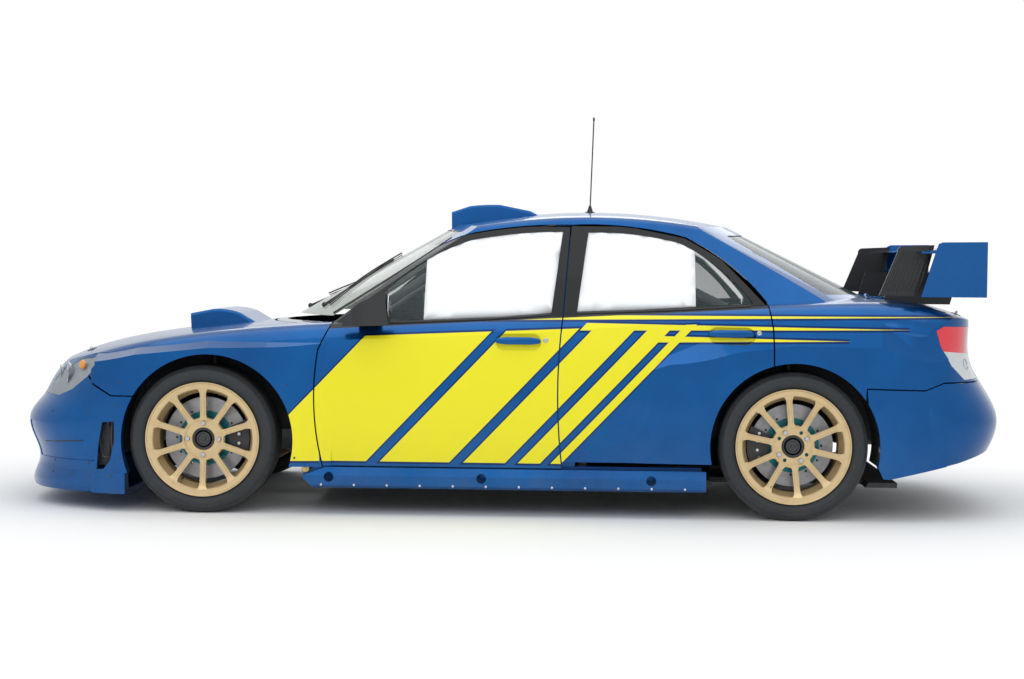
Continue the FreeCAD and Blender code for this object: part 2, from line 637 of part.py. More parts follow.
nose_shell = skin_shell.common(bumper_zone_front)
GRILLE = [(-372, 514), (-400, 545), (-360, 586), (360, 586), (400, 545), (372, 514)]
INTAKE = [(-470, 205), (-500, 330), (-440, 420), (440, 420), (500, 330), (470, 205)]
grille_hole, intake_hole = prism("YZ", GRILLE, 1800, 2400), prism("YZ", INTAKE, 1800, 2400)
DUCT = [(1745, 386), (1690, 391), (1688, 305), (1708, 221), (1738, 184), (1772, 180), (1764, 286)]
duct_hole = prism("XZ", DUCT, 650, FAR)
CORNER_PANEL = [(1784, 214), (1768, 300), (1770, 372), (2300, 372), (2300, 214)]
front_bumper = nose_shell.cut(box(1500, 2400, -FAR, FAR, -100, 170.3)).cut(lamp_holes).cut(arch_cut)
front_bumper = front_bumper.cut(grille_hole).cut(intake_hole).cut(duct_hole).cut(mirrored(duct_hole))
corner_step = OUT.cut(lower_body(4)).common(prism("XZ", CORNER_PANEL, 560, FAR))
front_bumper = largest(front_bumper.cut(corner_step).cut(mirrored(corner_step)))
splitter_form = OUT.common(box(1640, 2400, -FAR, FAR, 78, 170))
splitter = splitter_form.cut(lower[SKIN].common(box(1600, 2400, -FAR, FAR, 96, 200))).cut(arch_cut)
splitter = largest(splitter)
rear_bumper = largest(skin_shell.common(bumper_zone_rear).cut(arch_cut).cut(lamp_holes))


behind_nose = lower_body(SKIN + PANE_SEAT)
NOSE_BEND = 2200.0


def bars_between(x_mid, z_list, outline_steps, depth):
    """Cross bars behind an opening of the nose, curved in plan like it, in a frame that reaches its skin."""
    axis = Vector(along(x_mid) - NOSE_BEND, 0, upward(100))
    behind = Part.makeCylinder(NOSE_BEND - depth, 600, axis)
    ring = Part.makeCylinder(NOSE_BEND, 600, axis).cut(behind)
    full = prism("YZ", outline_steps, 1900, 2300)
    slats = [box(1900, 2300, -520, 520, z, z + 7).common(full) for z in z_list]
    frame = grown("YZ", outline_steps, 1900, 2300, 7).cut(grown("YZ", outline_steps, 1890, 2310, -5))
    frame = frame.cut(behind).common(behind_nose)
    return largest(frame.fuse(ring.common(fuse(slats))))


grille = bars_between(2072, (532, 550, 568), GRILLE, 12)
intake = bars_between(2158, range(238, 400, 32), INTAKE, 12)
grille_both = Part.makeCompound([grille, intake])

lower_5, lower_70, lower_90 = lower_body(5), lower_body(70), lower_body(84)
head_prism = prism("XZ", HEADLAMP, 440, FAR)
tail_prism = prism("XZ", TAIL_LAMP, 560, FAR)
head_lens = largest(lower[0].cut(lower_5).common(head_prism))
head_bowl = largest(lower_70.cut(lower_90).common(head_prism))
head_rim = grown("XZ", HEADLAMP, 440, FAR, -0.3).cut(grown("XZ", HEADLAMP, 446, FAR, -6))
head_bowl = largest(head_bowl.fuse(lower_body(5.3).cut(lower_90).common(head_rim)))
tail_lamp = largest(lower[0].cut(lower[LID]).common(tail_prism))

# ------------------------------------------------------------------ skirts, scoops, wing, mirrors
SKIRT_SECTION = [(798.3, 118), (872, 118), (884, 130), (884, 171), (866, 206), (798.3, 206)]
SKIRT_SIDE = [(-862, 118), (-862, 206), (772, 206), (874, 168), (828, 118)]
skirt = prism("YZ", SKIRT_SECTION, -870, 880).common(prism("XZ", SKIRT_SIDE, 600, FAR))
for x in JACK_X:
    skirt = skirt.cut(tube_along_y(x, size("jack_z"), size("jack_bore"), 780, FAR))

SCOOP = [(1478, 740), (1484, 845), (1380, 866), (1255, 850, 1330, 866), (1180, 806), (1180, 740)]
scoop_form = prism("XZ", SCOOP, -250, 250)
top_edges = [e for e in scoop_form.Edges if e.BoundBox.ZMin > upward(800) and e.BoundBox.YLength < 1]
scoop_form = scoop_form.makeFillet(12, top_edges)
THROAT = [(1500, 740), (1500, 833), (1380, 852), (1290, 846), (1290, 740)]
scoop = scoop_form.cut(prism("XZ", THROAT, -238, 238))
bonnet = bonnet.fuse(scoop.cut(lower[LID]))
bonnet = largest(bonnet.cut(box(1300, 1474, -230, 230, 770, 830)))

ROOF_SCOOP = [
    (278, 1200), (280, 1322), (197, 1350), (60, 1357, 130, 1356), (-79, 1330), (-140, 1300), (-140, 1200),
]
roof_scoop = prism("XZ", ROOF_SCOOP, -250, 250)
top_edges = [e for e in roof_scoop.Edges if e.BoundBox.ZMin > upward(1295) and e.BoundBox.YLength < 1]
roof_scoop = roof_scoop.makeFillet(10, top_edges)
SCOOP_THROAT = [(300, 1200), (300, 1312), (190, 1338), (60, 1346), (20, 1300), (20, 1200)]
roof_scoop = roof_scoop.cut(prism("XZ", SCOOP_THROAT, -240, 240))
over_cabin, over_body = cabin(-PANE_SEAT), lower_body(-PANE_SEAT)
roof_scoop = largest(roof_scoop.cut(over_cabin))

END_PLATE = [(-1781, 962), (-1853, 1191), (-1870, 1198), (-2062, 1201), (-2062, 962)]
WING_FOOT = [(-1660, 925), (-1700, 1060), (-2000, 1070), (-1960, 925)]
WING_POST = [(-1900, 1040), (-1900, 1175), (-1990, 1185), (-1990, 1040)]
VANE = [(-1616, 966), (-1693, 1155), (-1715, 1180, -1700, 1175), (-1853, 1187), (-1797, 962)]


def aerofoil(x_front, chord, z, thick, half):
    """A wing plane whose section is drawn in arcs, nose forward, hollow side down."""
    x_rear = x_front - chord
    steps = [(x_front, z), (x_rear, z + 22, x_front - chord * 0.45, z + thick - 6),
             (x_rear, z + 17), (x_front, z, x_front - chord * 0.42, z - thick * 0.45)]
    return prism("XZ", steps, -half, half)


wing = [aerofoil(-1815, 235, 1160, 22, 742), aerofoil(-1850, 190, 1046, 18, 742)]
for side in (1, -1):
    wing.append(prism("XZ", END_PLATE, side * 746 - 5, side * 746 + 5))
    wing.append(prism("XZ", VANE, side * 640 - 4, side * 640 + 4))
    wing.append(prism("XZ", WING_FOOT, side * 430 - 6, side * 430 + 6))
    wing.append(prism("XZ", WING_POST, side * 430 - 6, side * 430 + 6))
    wing.append(box(-1850, -1780, min(side * 640, side * 746), max(side * 640, side * 746), 1150, 1158))
rear_wing = largest(fuse(wing).cut(over_body))

MIRROR = [(702, 815), (664, 876, 690, 842), (570, 937, 620, 915), (510, 959), (497, 822)]
mirror = prism("XZ", MIRROR, 868, 990)
MIRROR_PLAN = [(490, 868), (490, 985), (560, 990), (650, 965, 610, 985), (712, 900), (712, 868)]
mirror = mirror.common(tube_along_y(565, 880, 190, 700, 1100)).common(prism("XY", MIRROR_PLAN, 700, 1100))
arm = box(540, 640, 800, 880, 820, 846)
mirror = mirror.cut(prism("XZ", [(490, 838), (490, 940), (506, 940), (500, 838)], 880, 978))
mirror = largest(mirror.fuse(arm).cut(over_body).cut(over_cabin))

aerial = rod((-353, 0, 1329.6), (-367, 0, 1774), 3).fuse(Part.makeCone(16, 5, 34, spot(-353, 0, 1329.4)))

# ------------------------------------------------------------------ underbody
front_tub_r, rear_tub_r = T + size("front_tub_room"), T + size("rear_tub_room")
TUB = size("tub_wall")


def tub(axle_x, r, y_in, y_out, z_cut, z_wall):
    shell = tube_along_y(axle_x, AXLE_AT, r + TUB, y_in - TUB, y_out)
    shell = shell.cut(tube_along_y(axle_x, AXLE_AT, r, y_in, y_out + 1))
    opening = box(axle_x - 500, axle_x + 500, y_in - 20, FAR, 0, z_cut)
    return shell.cut(opening).cut(box(axle_x - 500, axle_x + 500, y_in - 20, y_in + 1, 0, z_wall))


front_tub = tub(FRONT_AT, front_tub_r, 486, 851, 235, 345)
front_tub = front_tub.common(lower_body(SKIN + 6))
front_tub = largest(front_tub.cut(bumper_room_front.common(lower[0].cut(lower[LID]))))
rear_tub = largest(tub(REAR_AT, rear_tub_r, 566, 796, 235, 328))
FLOOR_TOP = 152.0
floor = box(-1700, 888, -700, 700, FLOOR_TOP - size("floor_wall"), FLOOR_TOP)
floor = floor.fuse([
    box(-980, 888, -135, 135, 150, 300),
    box(872, 888, -690, 690, 150, 800),
    box(-1000, -984, -545, 545, 150, 880),
    box(-1440, -984, -545, 545, 868, 880),
    box(-1990, -984, -557.7, 557.7, 330, 345),
    box(-1990, -1974, -540, 540, 330, 560),
    box(880, 1990, 355, 420, 330, 400), box(880, 1990, -420, -355, 330, 400),
    box(1960, 1990, -520, 520, 300, 400),
    box(1150, 1460, -330, 330, 215, 262),
    box(1430, 1460, -420, -325, 215, 335), box(1430, 1460, 325, 420, 215, 335),
    box(1150, 1176, -420, -325, 215, 335), box(1150, 1176, 325, 420, 215, 335),
])
for axle_x, r, y_in in ((REAR_AT, rear_tub_r, 557.5), (FRONT_AT, front_tub_r, 477.5)):
    room = tube_along_y(axle_x, AXLE_AT, r + TUB + PANE_SEAT, y_in, 900)
    floor = floor.cut(room).cut(mirrored(room))
brackets = [box(1200, 1420, 400, 477.7, 352, 398)]
brackets += [box(1880, 2300, 355, 420, 430, 480).common(behind_nose), box(1880, 1990, 355, 420, 398, 470)]
brackets.append(box(-2400, -1976, 355, 420, 380, 440).common(behind_nose))
brackets.append(box(1940, 1975, 270, 320, 398, 800).common(lower_body(LID + PANE_SEAT)))
floor = largest(floor.fuse(brackets + [mirrored(b) for b in brackets]))

engine = box(1250, 1720, -320, 320, 262.3, 560)

# ------------------------------------------------------------------ wheels, hubs and brakes
def turned(steps):
    """A ring from an outline given as (radius, y) steps, turned about the wheel's axis."""
    put = [(s[1], s[0]) if len(s) == 2 else (s[1], s[0], s[3], s[2]) for s in steps]
    return outline("YZ", put).revolve(Vector(0, 0, 0), Y_WAY, 360)


drawing["of the car"] = False
barrel = turned([
    (R, -HW), (R, -HW + 8), (R - 18, -HW + 9), (R - 19, -70), (R - 41, -45), (R - 41, 40), (R - 19, 66),
    (R - 18, HW - 9), (R, HW - 8), (R, HW), (R - 4, HW), (R - 8, HW - 4), (R - 28, HW - 6), (R - 33, HW - 12),
    (R - 33, HW - 30), (R - 26, HW - 38), (R - 26, 64), (R - 48, 38), (R - 48, -42), (R - 26, -68),
    (R - 25, -HW + 8), (R - 7, -HW),
])
bore = size("hub_bore")
hub = turned([
    (bore, 48), (84, 48), (93, 60), (93, 80), (89, 86), (84, 86), (82, 78), (50, 78), (48, 75), (48, 60),
    (bore, 60),
])
W = size("spoke_width") / 2
ROOT = W + 11.5           # a spoke's half width where it leaves the hub
SPOKE_FRONT = [(-ROOT, 80), (ROOT, 80), (W, 112, W + 2.5, 93), (W, R - 62), (W + 13, R - 26, W + 3, R - 42),
               (-W - 13, R - 26), (-W, R - 62, -W - 3, R - 42), (-W, 112), (-ROOT, 80, -W - 2.5, 93)]
SPOKE_SIDE = [
    (60, 80), (72, R - 87), (80, R - 26), (HW - 6, R - 26), (HW - 19, R - 97, HW - 13, R - 52), (84, 80),
]
GROOVE_SIDE = [
    (81.5, 102), (HW - 23, R - 97), (HW - 17, R - 53), (HW - 15, R - 44), (HW + 21, R - 44), (HW + 21, 102),
]
spoke = prism("YZ", SPOKE_SIDE, -60, 60).common(prism("XZ", SPOKE_FRONT, 0, 200))
for x in (-W / 2, W / 2):
    spoke = spoke.cut(prism("YZ", GROOVE_SIDE, x - 2.2, x + 2.2))
spokes = []
for i in range(int(size("spoke_count"))):
    one = spoke.copy()
    one.rotate(Vector(0, 0, 0), Y_WAY, 360.0 * i / size("spoke_count"))
    spokes.append(one)
rim = fuse([barrel, hub] + spokes)
for i in range(int(size("lug_count"))):
    a = math.radians(360.0 * i / size("lug_count"))
    at = size("lug_radius") * math.cos(a), size("lug_radius") * math.sin(a)
    rim = rim.cut(tube_along_y(*at, size("lug_hole"), 40, 120))
rim = largest(rim)

tyre = turned([(R - 17.6, 72), (R - 17.6, HW - 9.4), (R + 2, HW - 9.2), (T - 34, TW, R + 12, TW - 5),
               (T - 9, TW - 13, T - 20, TW - 2), (T, TW - 34, T - 3, TW - 24), (T, -TW + 34),
               (T - 9, -TW + 13, T - 3, -TW + 24), (T - 34, -TW, T - 20, -TW + 2),
               (R + 2, -HW + 9.2, R + 12, -TW + 5),
               (R - 17.6, -HW + 9.4), (R - 17.6, -76), (R - 2, -78), (T - 22, -TW + 14), (T - 13, -TW + 32),
               (T - 13, TW - 32), (T - 22, TW - 14), (R - 2, 76)])

D, DW = R - 48 - size("disc_room"), size("disc_wall")
disc = turned([(bore, 39), (bore, 47.7), (88, 47.7), (88, 8), (D, 8), (D, 8 - DW), (78, 8 - DW), (78, 39)])
for i in range(12):
    a = math.radians(30 * i)
    disc = disc.cut(tube_along_y(128 * math.cos(a), 128 * math.sin(a), 5, -40, 20))

KING_LOW, KING_TOP = (0, -86, -128), (0, -191, 382)      # the steering axis, from the wheel's centre


def web():
    """The ring sector between the hub carrier and the caliper's arm."""
    return turned([(0, -70), (150, -70), (150, -44), (0, -44)])


def caliper():
    """A block over the disc's edge, slotted for the disc."""
    block = turned([(104, -52), (104, 36), (D + 16, 36), (D + 16, -52)])
    wedge = prism("XZ", [(0, 0), (-400, 190), (-400, -190)], -200, 200)
    slot = turned([(60, -DW + 8 - 3), (60, 11), (D + 5, 11), (D + 5, -DW + 8 - 3)])
    return largest(block.common(wedge).cut(slot))


def king_point(z):
    """A point of the steering axis, at a height over the wheel's centre."""
    share = (z - KING_LOW[2]) / (KING_TOP[2] - KING_LOW[2])
    return 0, KING_LOW[1] + (KING_TOP[1] - KING_LOW[1]) * share, z


def knuckle(steered):
    pin = bore - size("running_gap")
    stub = turned([(0, -96), (62, -96), (70, -60), (70, -40), (pin, -30), (pin, 58), (0, 58)])
    bracket = box(-150, 0, -70, -44, -60, 60).common(web())
    pieces = [stub, bracket, rod((0, -78, 0), KING_LOW, 17)]
    if steered:
        pieces += [
            rod((0, -84, 30), king_point(95), 24),
            rod(king_point(60), KING_TOP, 19),
            rod(king_point(136), king_point(150), 44),
            rod((-10, -84, -60), (-150, -92, -66), 11),
        ]
    return pieces


def knuckle_shape(steered):
    """Hub carrier, caliper and the arm between; a steered one has its strut and a hollow for the shaft."""
    body, hold = fuse(knuckle(steered)), caliper()
    if steered:
        ball = king_point(0)
        arm = box(-112, -100, -64, -48, -40, 40)
        body = body.cut(Part.makeSphere(38, Vector(*ball))).cut(rod(ball, (0, -260, 0), 34))
    else:
        hold.rotate(Vector(0, 0, 0), Y_WAY, 180)
        arm = box(100, 112, -64, -48, -40, 40)
        body = body.fuse(box(0, 150, -70, -44, -60, 60).common(web()))
    return largest(fuse([body, hold, arm]))


front_knuckle, rear_knuckle = knuckle_shape(True), knuckle_shape(False)


def wheel_place(axle_x, side, spun=0.0):
    turn = Rotation(Z_WAY, 0 if side > 0 else 180) * Rotation(Y_WAY, spun)
    return Placement(Vector(axle_x, side * WHEEL_Y, AXLE_Z), turn)


drawing["of the car"] = True


# ------------------------------------------------------------------ arms, shafts and exhaust
def at_wheel(axle_x, side, inward, over):
    """A point beside a wheel: so far inward of its middle plane and so far over its centre."""
    return Vector(axle_x, side * (WHEEL_Y - inward), AXLE_Z + over)


wishbones, PIVOT = [], 20.0
for side in (1, -1):
    ball = at_wheel(FRONT_AXLE_X, side, 106, -143.6)
    inner, outer = spot(FRONT_AT, side * 330, 238), spot(FRONT_AT, side * 320, AXLE_AT)
    inner += Y_WAY * side * (PIVOT + PANE_SEAT)
    outer += Y_WAY * side * PANE_SEAT
    legs = [bar(inner + X_WAY * 100, ball, 16), bar(inner - X_WAY * 110, ball, 16),
            bar(inner + X_WAY * 115, inner - X_WAY * 125, PIVOT)]
    wishbones += [fuse(legs), bar(outer, at_wheel(FRONT_AXLE_X, side, 114, 0), 11.5)]
front_arms = Part.makeCompound(wishbones)
arms = [box(REAR_AT - 140, REAR_AT + 100, -205, 205, 205, 250),
        box(REAR_AT - 90, REAR_AT + 110, -150, 150, 200, 322)]
for side in (1, -1):
    hub_in = at_wheel(REAR_AXLE_X, side, 114.8, -103)
    inner = spot(REAR_AT, side * 200, 225)
    arms += [bar(inner + X_WAY * 70, hub_in, 14), bar(inner - X_WAY * 110, hub_in, 14),
             bar(spot(REAR_AT + 330, side * 500, 190), hub_in, 15),
             bar(spot(REAR_AT, side * 150, AXLE_AT - 35), at_wheel(REAR_AXLE_X, side, 111, -5), 14),
             bar(at_wheel(REAR_AXLE_X, side, 142, -93), at_wheel(REAR_AXLE_X, side, 162, 366), 18),
             bar(at_wheel(REAR_AXLE_X, side, 154, 152), at_wheel(REAR_AXLE_X, side, 159, 292), 30)]
rear_arms = largest(fuse(arms).cut(floor))
silencer = rod((-1960, -400, 274.7), (-1700, -400, 274.7), 55)
pipe = rod((-2140, -400, 240), (-1930, -400, 240), size("tail_bore") + 4)
exhaust = pipe.fuse(silencer).cut(rod((-2150, -400, 240), (-2000, -400, 240), size("tail_bore")))

# ------------------------------------------------------------------ cabin
STEER_X, STEER_Y, STEER_Z, COLUMN_TILT = 300.0, 360.0, 745.0, 24.0
wheel_ring = Part.makeTorus(168, 14)
drawing["of the car"] = False
spars = [box(-160, 160, -14, 14, -6, 6), box(-14, 14, -160, 0, -6, 6)]
spars.append(Part.makeCylinder(40, 30, Vector(0, 0, -12)))
drawing["of the car"] = True
steering_wheel = fuse([wheel_ring] + spars)
column_turn = Rotation(Y_WAY, -(90 - COLUMN_TILT))
steer_place = Placement(spot(STEER_X, STEER_Y, STEER_Z), column_turn)
DASH = [(862, 560), (862, 790), (800, 812), (560, 800), (520, 760, 528, 790), (560, 640), (700, 560)]
dash = prism("XZ", DASH, -590, 590)
column = Part.makeCylinder(26, 317.7, Vector(0, 0, -330))
column.Placement = steer_place
console = prism("XZ", [(150, 300.3), (150, 380), (560, 470), (620, 600), (760, 600), (760, 300.3)], -110, 110)
dashboard = largest(fuse([dash, column, console]).common(lower[DOOR].fuse(cabin(PILLAR + 17))))
SEAT_SIDE = [(-60, 300), (-20, 262), (330, 252), (390, 380), (200, 440), (100, 560), (40, 720), (40, 800),
             (-20, 900), (-150, 955), (-190, 930), (-140, 700)]
SEAT_HOLLOW = [(400, 300), (40, 300), (-130, 900), (200, 1000), (400, 400)]
SEAT_HALF, SEAT_WALL = size("seat_width") / 2, 45.0


def bucket(y):
    """A bucket seat on its two runners."""
    half = SEAT_HALF - SEAT_WALL
    shell = prism("XZ", SEAT_SIDE, y - SEAT_HALF, y + SEAT_HALF)
    shell = shell.cut(prism("XZ", SEAT_HOLLOW, y - half, y + half))
    for middle in (y + half + 15, y - half - 15):
        shell = shell.fuse(box(0, 320, middle - 12, middle + 12, FLOOR_TOP + PANE_SEAT, 262))
    return largest(shell)


seats = Part.makeCompound([bucket(365), bucket(-365)])


def tube_run(points, radius):
    pieces = [rod(a, b, radius) for a, b in zip(points, points[1:])]
    pieces += [Part.makeSphere(radius, spot(*p)) for p in points[1:-1]]
    return pieces


cage_lines = [
    [(-330, 640, 152.5), (-330, 640, 700), (-330, 470, 1215),
     (-330, -470, 1215), (-330, -640, 700), (-330, -640, 152.5)],
]
for side in (1, -1):
    cage_lines += [
        [(780, side * 640, 152.5), (770, side * 640, 760), (180, side * 462, 1150), (-330, side * 470, 1215)],
        [(-330, side * 460, 1205), (-970, side * 430, 900)],
        [(-330, side * 640, 620), (770, side * 640, 300)],
        [(-330, side * 640, 300), (770, side * 640, 620)],
    ]
cage_lines += [[(180, 462, 1150), (180, -462, 1150)], [(-330, 630, 300), (-330, -470, 1180)]]
cage = []
for line in cage_lines:
    cage += tube_run(line, size("cage_radius"))
roll_cage = largest(fuse(cage).cut(floor).common(box(-975, 2000, -900, 900, 152.4, 1400)))


def on_glass(x, y):
    """A point of the car just over the windscreen, from a drawn point seen from above."""
    low, high = spot(x, y, 700), spot(x, y, 1500)
    return Vector(low.x, low.y, Part.makeLine(low, high).common(upper[0]).BoundBox.ZMax + 4)


wiper_arms, over_glass = [], cabin(3 - PANE_SEAT)
for low_end, high_end in (((840, 430), (560, 120)), ((960, 20), (620, -330))):
    arm = bar(on_glass(*low_end), on_glass(*high_end), 6).fuse(Part.makeSphere(12, on_glass(*low_end)))
    wiper_arms.append(largest(arm.cut(over_glass)))
wipers = Part.makeCompound(wiper_arms)


# ------------------------------------------------------------------ the pieces by name
def both(shape):
    return Part.makeCompound([shape, mirrored(shape)])


PANELS = [
    ("roof", roof), ("side_frame_left", side_frame), ("side_frame_right", mirrored(side_frame)),
    ("floor_pan", floor), ("wheel_tubs", Part.makeCompound([both(front_tub), both(rear_tub)])),
    ("front_bumper", front_bumper), ("front_splitter", splitter), ("grille", grille_both),
    ("front_fender_left", fender), ("front_fender_right", mirrored(fender)),
    ("bonnet", bonnet), ("cowl", cowl),
    ("windscreen", windscreen), ("rear_window", rear_window),
    ("front_door_left", front_door), ("front_door_right", mirrored(front_door)),
    ("rear_door_left", rear_door), ("rear_door_right", mirrored(rear_door)),
    ("front_glass_left", front_glass), ("front_glass_right", mirrored(front_glass)),
    ("rear_glass_left", rear_glass), ("rear_glass_right", mirrored(rear_glass)),
    ("mirror_left", mirror), ("mirror_right", mirrored(mirror)),
    ("headlamp_lenses", both(head_lens)), ("headlamp_bowls", both(head_bowl)),
    ("tail_lamps", both(tail_lamp)), ("side_skirts", both(skirt)),
    ("rear_bumper", rear_bumper), ("boot_lid", boot_lid), ("rear_wing", rear_wing),
    ("roof_scoop", roof_scoop), ("aerial", aerial), ("wipers", wipers), ("racing_seats", seats),
    ("roll_cage", roll_cage), ("dashboard", dashboard), ("engine_block", engine), ("exhaust", exhaust),
    ("front_arms", front_arms), ("rear_arms", rear_arms),
]
for label, shape in PANELS:
    add(label, shape)
add("steering_wheel", steering_wheel, steer_place)
WHEELS = [
    # name, axle, side, knuckle, degrees the wheel stands turned
    ("front_left", FRONT_AXLE_X, 1, front_knuckle, 0), ("front_right", FRONT_AXLE_X, -1, front_knuckle, 0),
    ("rear_left", REAR_AXLE_X, 1, rear_knuckle, size("rear_wheel_turn")),
    ("rear_right", REAR_AXLE_X, -1, rear_knuckle, size("rear_wheel_turn")),
]
for name, axle_x, side, knuckle_form, spun in WHEELS:
    group = (("knuckle", knuckle_form, 0), ("disc", disc, spun), ("rim", rim, spun), ("tyre", tyre, 0))
    for piece, shape, turn in group:
        handed = shape if side > 0 else shape.mirror(Vector(0, 0, 0), X_WAY)
        add(piece + "_" + name, handed, wheel_place(axle_x, side, turn))

doc.recompute()
for thing in doc.Objects:
    if "Invalid" in thing.State or "Error" in thing.State:
        raise RuntimeError(thing.Name + " did not rebuild")
for thing in features:
    if thing.Shape.isNull() or not thing.Shape.isValid():
        raise RuntimeError(thing.Label + " has no sound shape")
for thing in features:
    thing.Shape.exportStep("parts/" + thing.Label + ".step")
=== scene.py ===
"""Looks for the rally car: finishes for the CAD pieces, trim modelled one by one, floor, lights and camera.

Metres.  +X is forward, +Y is the car's left and +Z is up, as in the frame.
"""
import math
from contextlib import contextmanager
import bpy
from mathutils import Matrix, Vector


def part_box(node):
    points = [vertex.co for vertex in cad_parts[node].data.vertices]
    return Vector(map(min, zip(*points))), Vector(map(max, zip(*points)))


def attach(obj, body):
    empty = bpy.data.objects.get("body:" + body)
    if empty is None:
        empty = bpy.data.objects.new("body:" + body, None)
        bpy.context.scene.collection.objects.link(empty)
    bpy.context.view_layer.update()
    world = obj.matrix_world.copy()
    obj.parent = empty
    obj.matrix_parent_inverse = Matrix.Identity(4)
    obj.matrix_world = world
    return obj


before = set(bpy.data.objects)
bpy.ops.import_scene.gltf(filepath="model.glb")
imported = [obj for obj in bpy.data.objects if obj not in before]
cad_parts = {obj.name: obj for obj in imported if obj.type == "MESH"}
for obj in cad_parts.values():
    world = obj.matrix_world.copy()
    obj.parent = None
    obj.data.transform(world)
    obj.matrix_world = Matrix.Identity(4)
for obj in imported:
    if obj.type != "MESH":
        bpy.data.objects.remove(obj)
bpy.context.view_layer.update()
BESIDE, ABOVE, BEYOND = 1.5, 2.5, 3.0  # where rays onto the car start: well outside it

BLUE = (0.0, 0.1, 0.33)
DEEP_BLUE = (0.0, 0.022, 0.12)
YELLOW = (0.82, 0.74, 0.014)
DUST = (0.2, 0.18, 0.15)
LACQUER = {"Coat_Roughness": 0.035, "Coat_IOR": 1.32, "IOR": 1.32}
SIDES = (("left", 1), ("right", -1))
AXLE_X = {"front": 1.3075, "rear": -1.2325}
WHEEL_Y, WHEEL_Z = 0.766, 0.318
NUT_CIRCLE, BOBBIN_CIRCLE, VALVE_CIRCLE = 0.068, 0.112, 0.196  # radii round a wheel's axis
CALIPER_BACK = 0.15  # a caliper's middle from the axle
CORNERS = [(end, side, s) for end in ("front", "rear") for side, s in SIDES]


# ---------------------------------------------------------------- node helpers
class Sheet:
    """A material or group being wired: short calls that add a node and link it."""

    def __init__(self, tree):
        self.tree = tree

    def node(self, kind, **settings):
        made = self.tree.nodes.new(kind)
        for key, value in settings.items():
            setattr(made, key, value)
        return made

    def link(self, source, target):
        self.tree.links.new(source, target)

    def fill(self, sockets, **sources):
        """Links each source to the socket of its name; an underscore stands for a space."""
        for key, source in sources.items():
            self.link(source, sockets[key.replace("_", " ")])

    def feed(self, target, value):
        if hasattr(value, "is_output"):
            self.link(value, target)
        else:
            target.default_value = value

    def maths(self, operation, a, b=None, clamp=False):
        made = self.node("ShaderNodeMath", operation=operation, use_clamp=clamp)
        for socket, value in zip(made.inputs, (a, b)):
            if value is not None:
                self.feed(socket, value)
        return made.outputs[0]

    def times(self, a, b, clamp=False):
        return self.maths("MULTIPLY", a, b, clamp=clamp)

    def plus(self, a, b, clamp=False):
        return self.maths("ADD", a, b, clamp=clamp)

    def minus(self, a, b, clamp=False):
        return self.maths("SUBTRACT", a, b, clamp=clamp)

    def absolute(self, a):
        return self.maths("ABSOLUTE", a)

    def reach(self, a, b):
        """The length of a line that goes a one way and b across."""
        return self.maths("SQRT", self.plus(self.times(a, a), self.times(b, b)))

    def blend(self, mask, a, b):
        made = self.node("ShaderNodeMix", data_type="RGBA")
        self.feed(made.inputs[0], mask)
        self.feed(made.inputs[6], a if hasattr(a, "is_output") else (*a, 1))
        self.feed(made.inputs[7], b if hasattr(b, "is_output") else (*b, 1))
        return made.outputs[2]

    def spread(self, value, low, high, to_low=0.0, to_high=1.0, smooth=False):
        made = self.node("ShaderNodeMapRange", clamp=True)
        if smooth:
            made.interpolation_type = "SMOOTHSTEP"
        for index, entry in enumerate((value, low, high, to_low, to_high)):
            self.feed(made.inputs[index], entry)
        return made.outputs[0]

    def over(self, value, edge, soft=0.0012):
        """1 where a value is over an edge, with a thin soft step."""
        return self.spread(self.minus(value, edge), -soft, soft)

    def under(self, value, edge, soft=0.0012):
        return self.spread(self.minus(edge, value), -soft, soft)

    def both(self, *masks):
        held = masks[0]
        for mask in masks[1:]:
            held = self.times(held, mask)
        return held

    def either(self, *masks):
        held = masks[0]
        for mask in masks[1:]:
            held = self.maths("MAXIMUM", held, mask)
        return held

    def place(self):
        return self.node("ShaderNodeTexCoord").outputs["Object"]

    def outward(self, y):
        """1 on faces that look away from the car's middle, 0 on a panel's inner face and edges."""
        way = self.split(self.node("ShaderNodeTexCoord").outputs["Normal"])[1]
        return self.over(self.times(way, self.maths("SIGN", y)), 0.2, 0.05)

    def split(self, vector):
        made = self.node("ShaderNodeSeparateXYZ")
        self.link(vector, made.inputs[0])
        return made.outputs

    def grain(self, vector, scale, detail=2.0, rough=0.5, distort=0.0):
        made = self.node("ShaderNodeTexNoise")
        self.link(vector, made.inputs["Vector"])
        for key, value in (("Scale", scale), ("Detail", detail), ("Roughness", rough),
                           ("Distortion", distort)):
            made.inputs[key].default_value = value
        return made.outputs["Fac"]

    def bump(self, height, strength, distance):
        made = self.node("ShaderNodeBump")
        made.inputs["Strength"].default_value = strength
        made.inputs["Distance"].default_value = distance
        self.link(height, made.inputs["Height"])
        return made.outputs["Normal"]


def group(name, inputs, outputs, wire):
    """A shader node group: inputs are (name, kind, default) rows, outputs (name, kind); wire fills it."""
    tree = bpy.data.node_groups.new(name, "ShaderNodeTree")
    for label, kind, default in inputs:
        socket = tree.interface.new_socket(label, in_out="INPUT", socket_type=kind)
        if default is not None:
            socket.default_value = default
    for label, kind in outputs:
        tree.interface.new_socket(label, in_out="OUTPUT", socket_type=kind)
    sheet = Sheet(tree)
    wire(sheet, sheet.node("NodeGroupInput").outputs, sheet.node("NodeGroupOutput").inputs)
    return tree


def use(sheet, tree, **values):
    made = sheet.node("ShaderNodeGroup", node_tree=tree)
    for key, value in values.items():
        sheet.feed(made.inputs[key.replace("_", " ")], value)
    return made.outputs


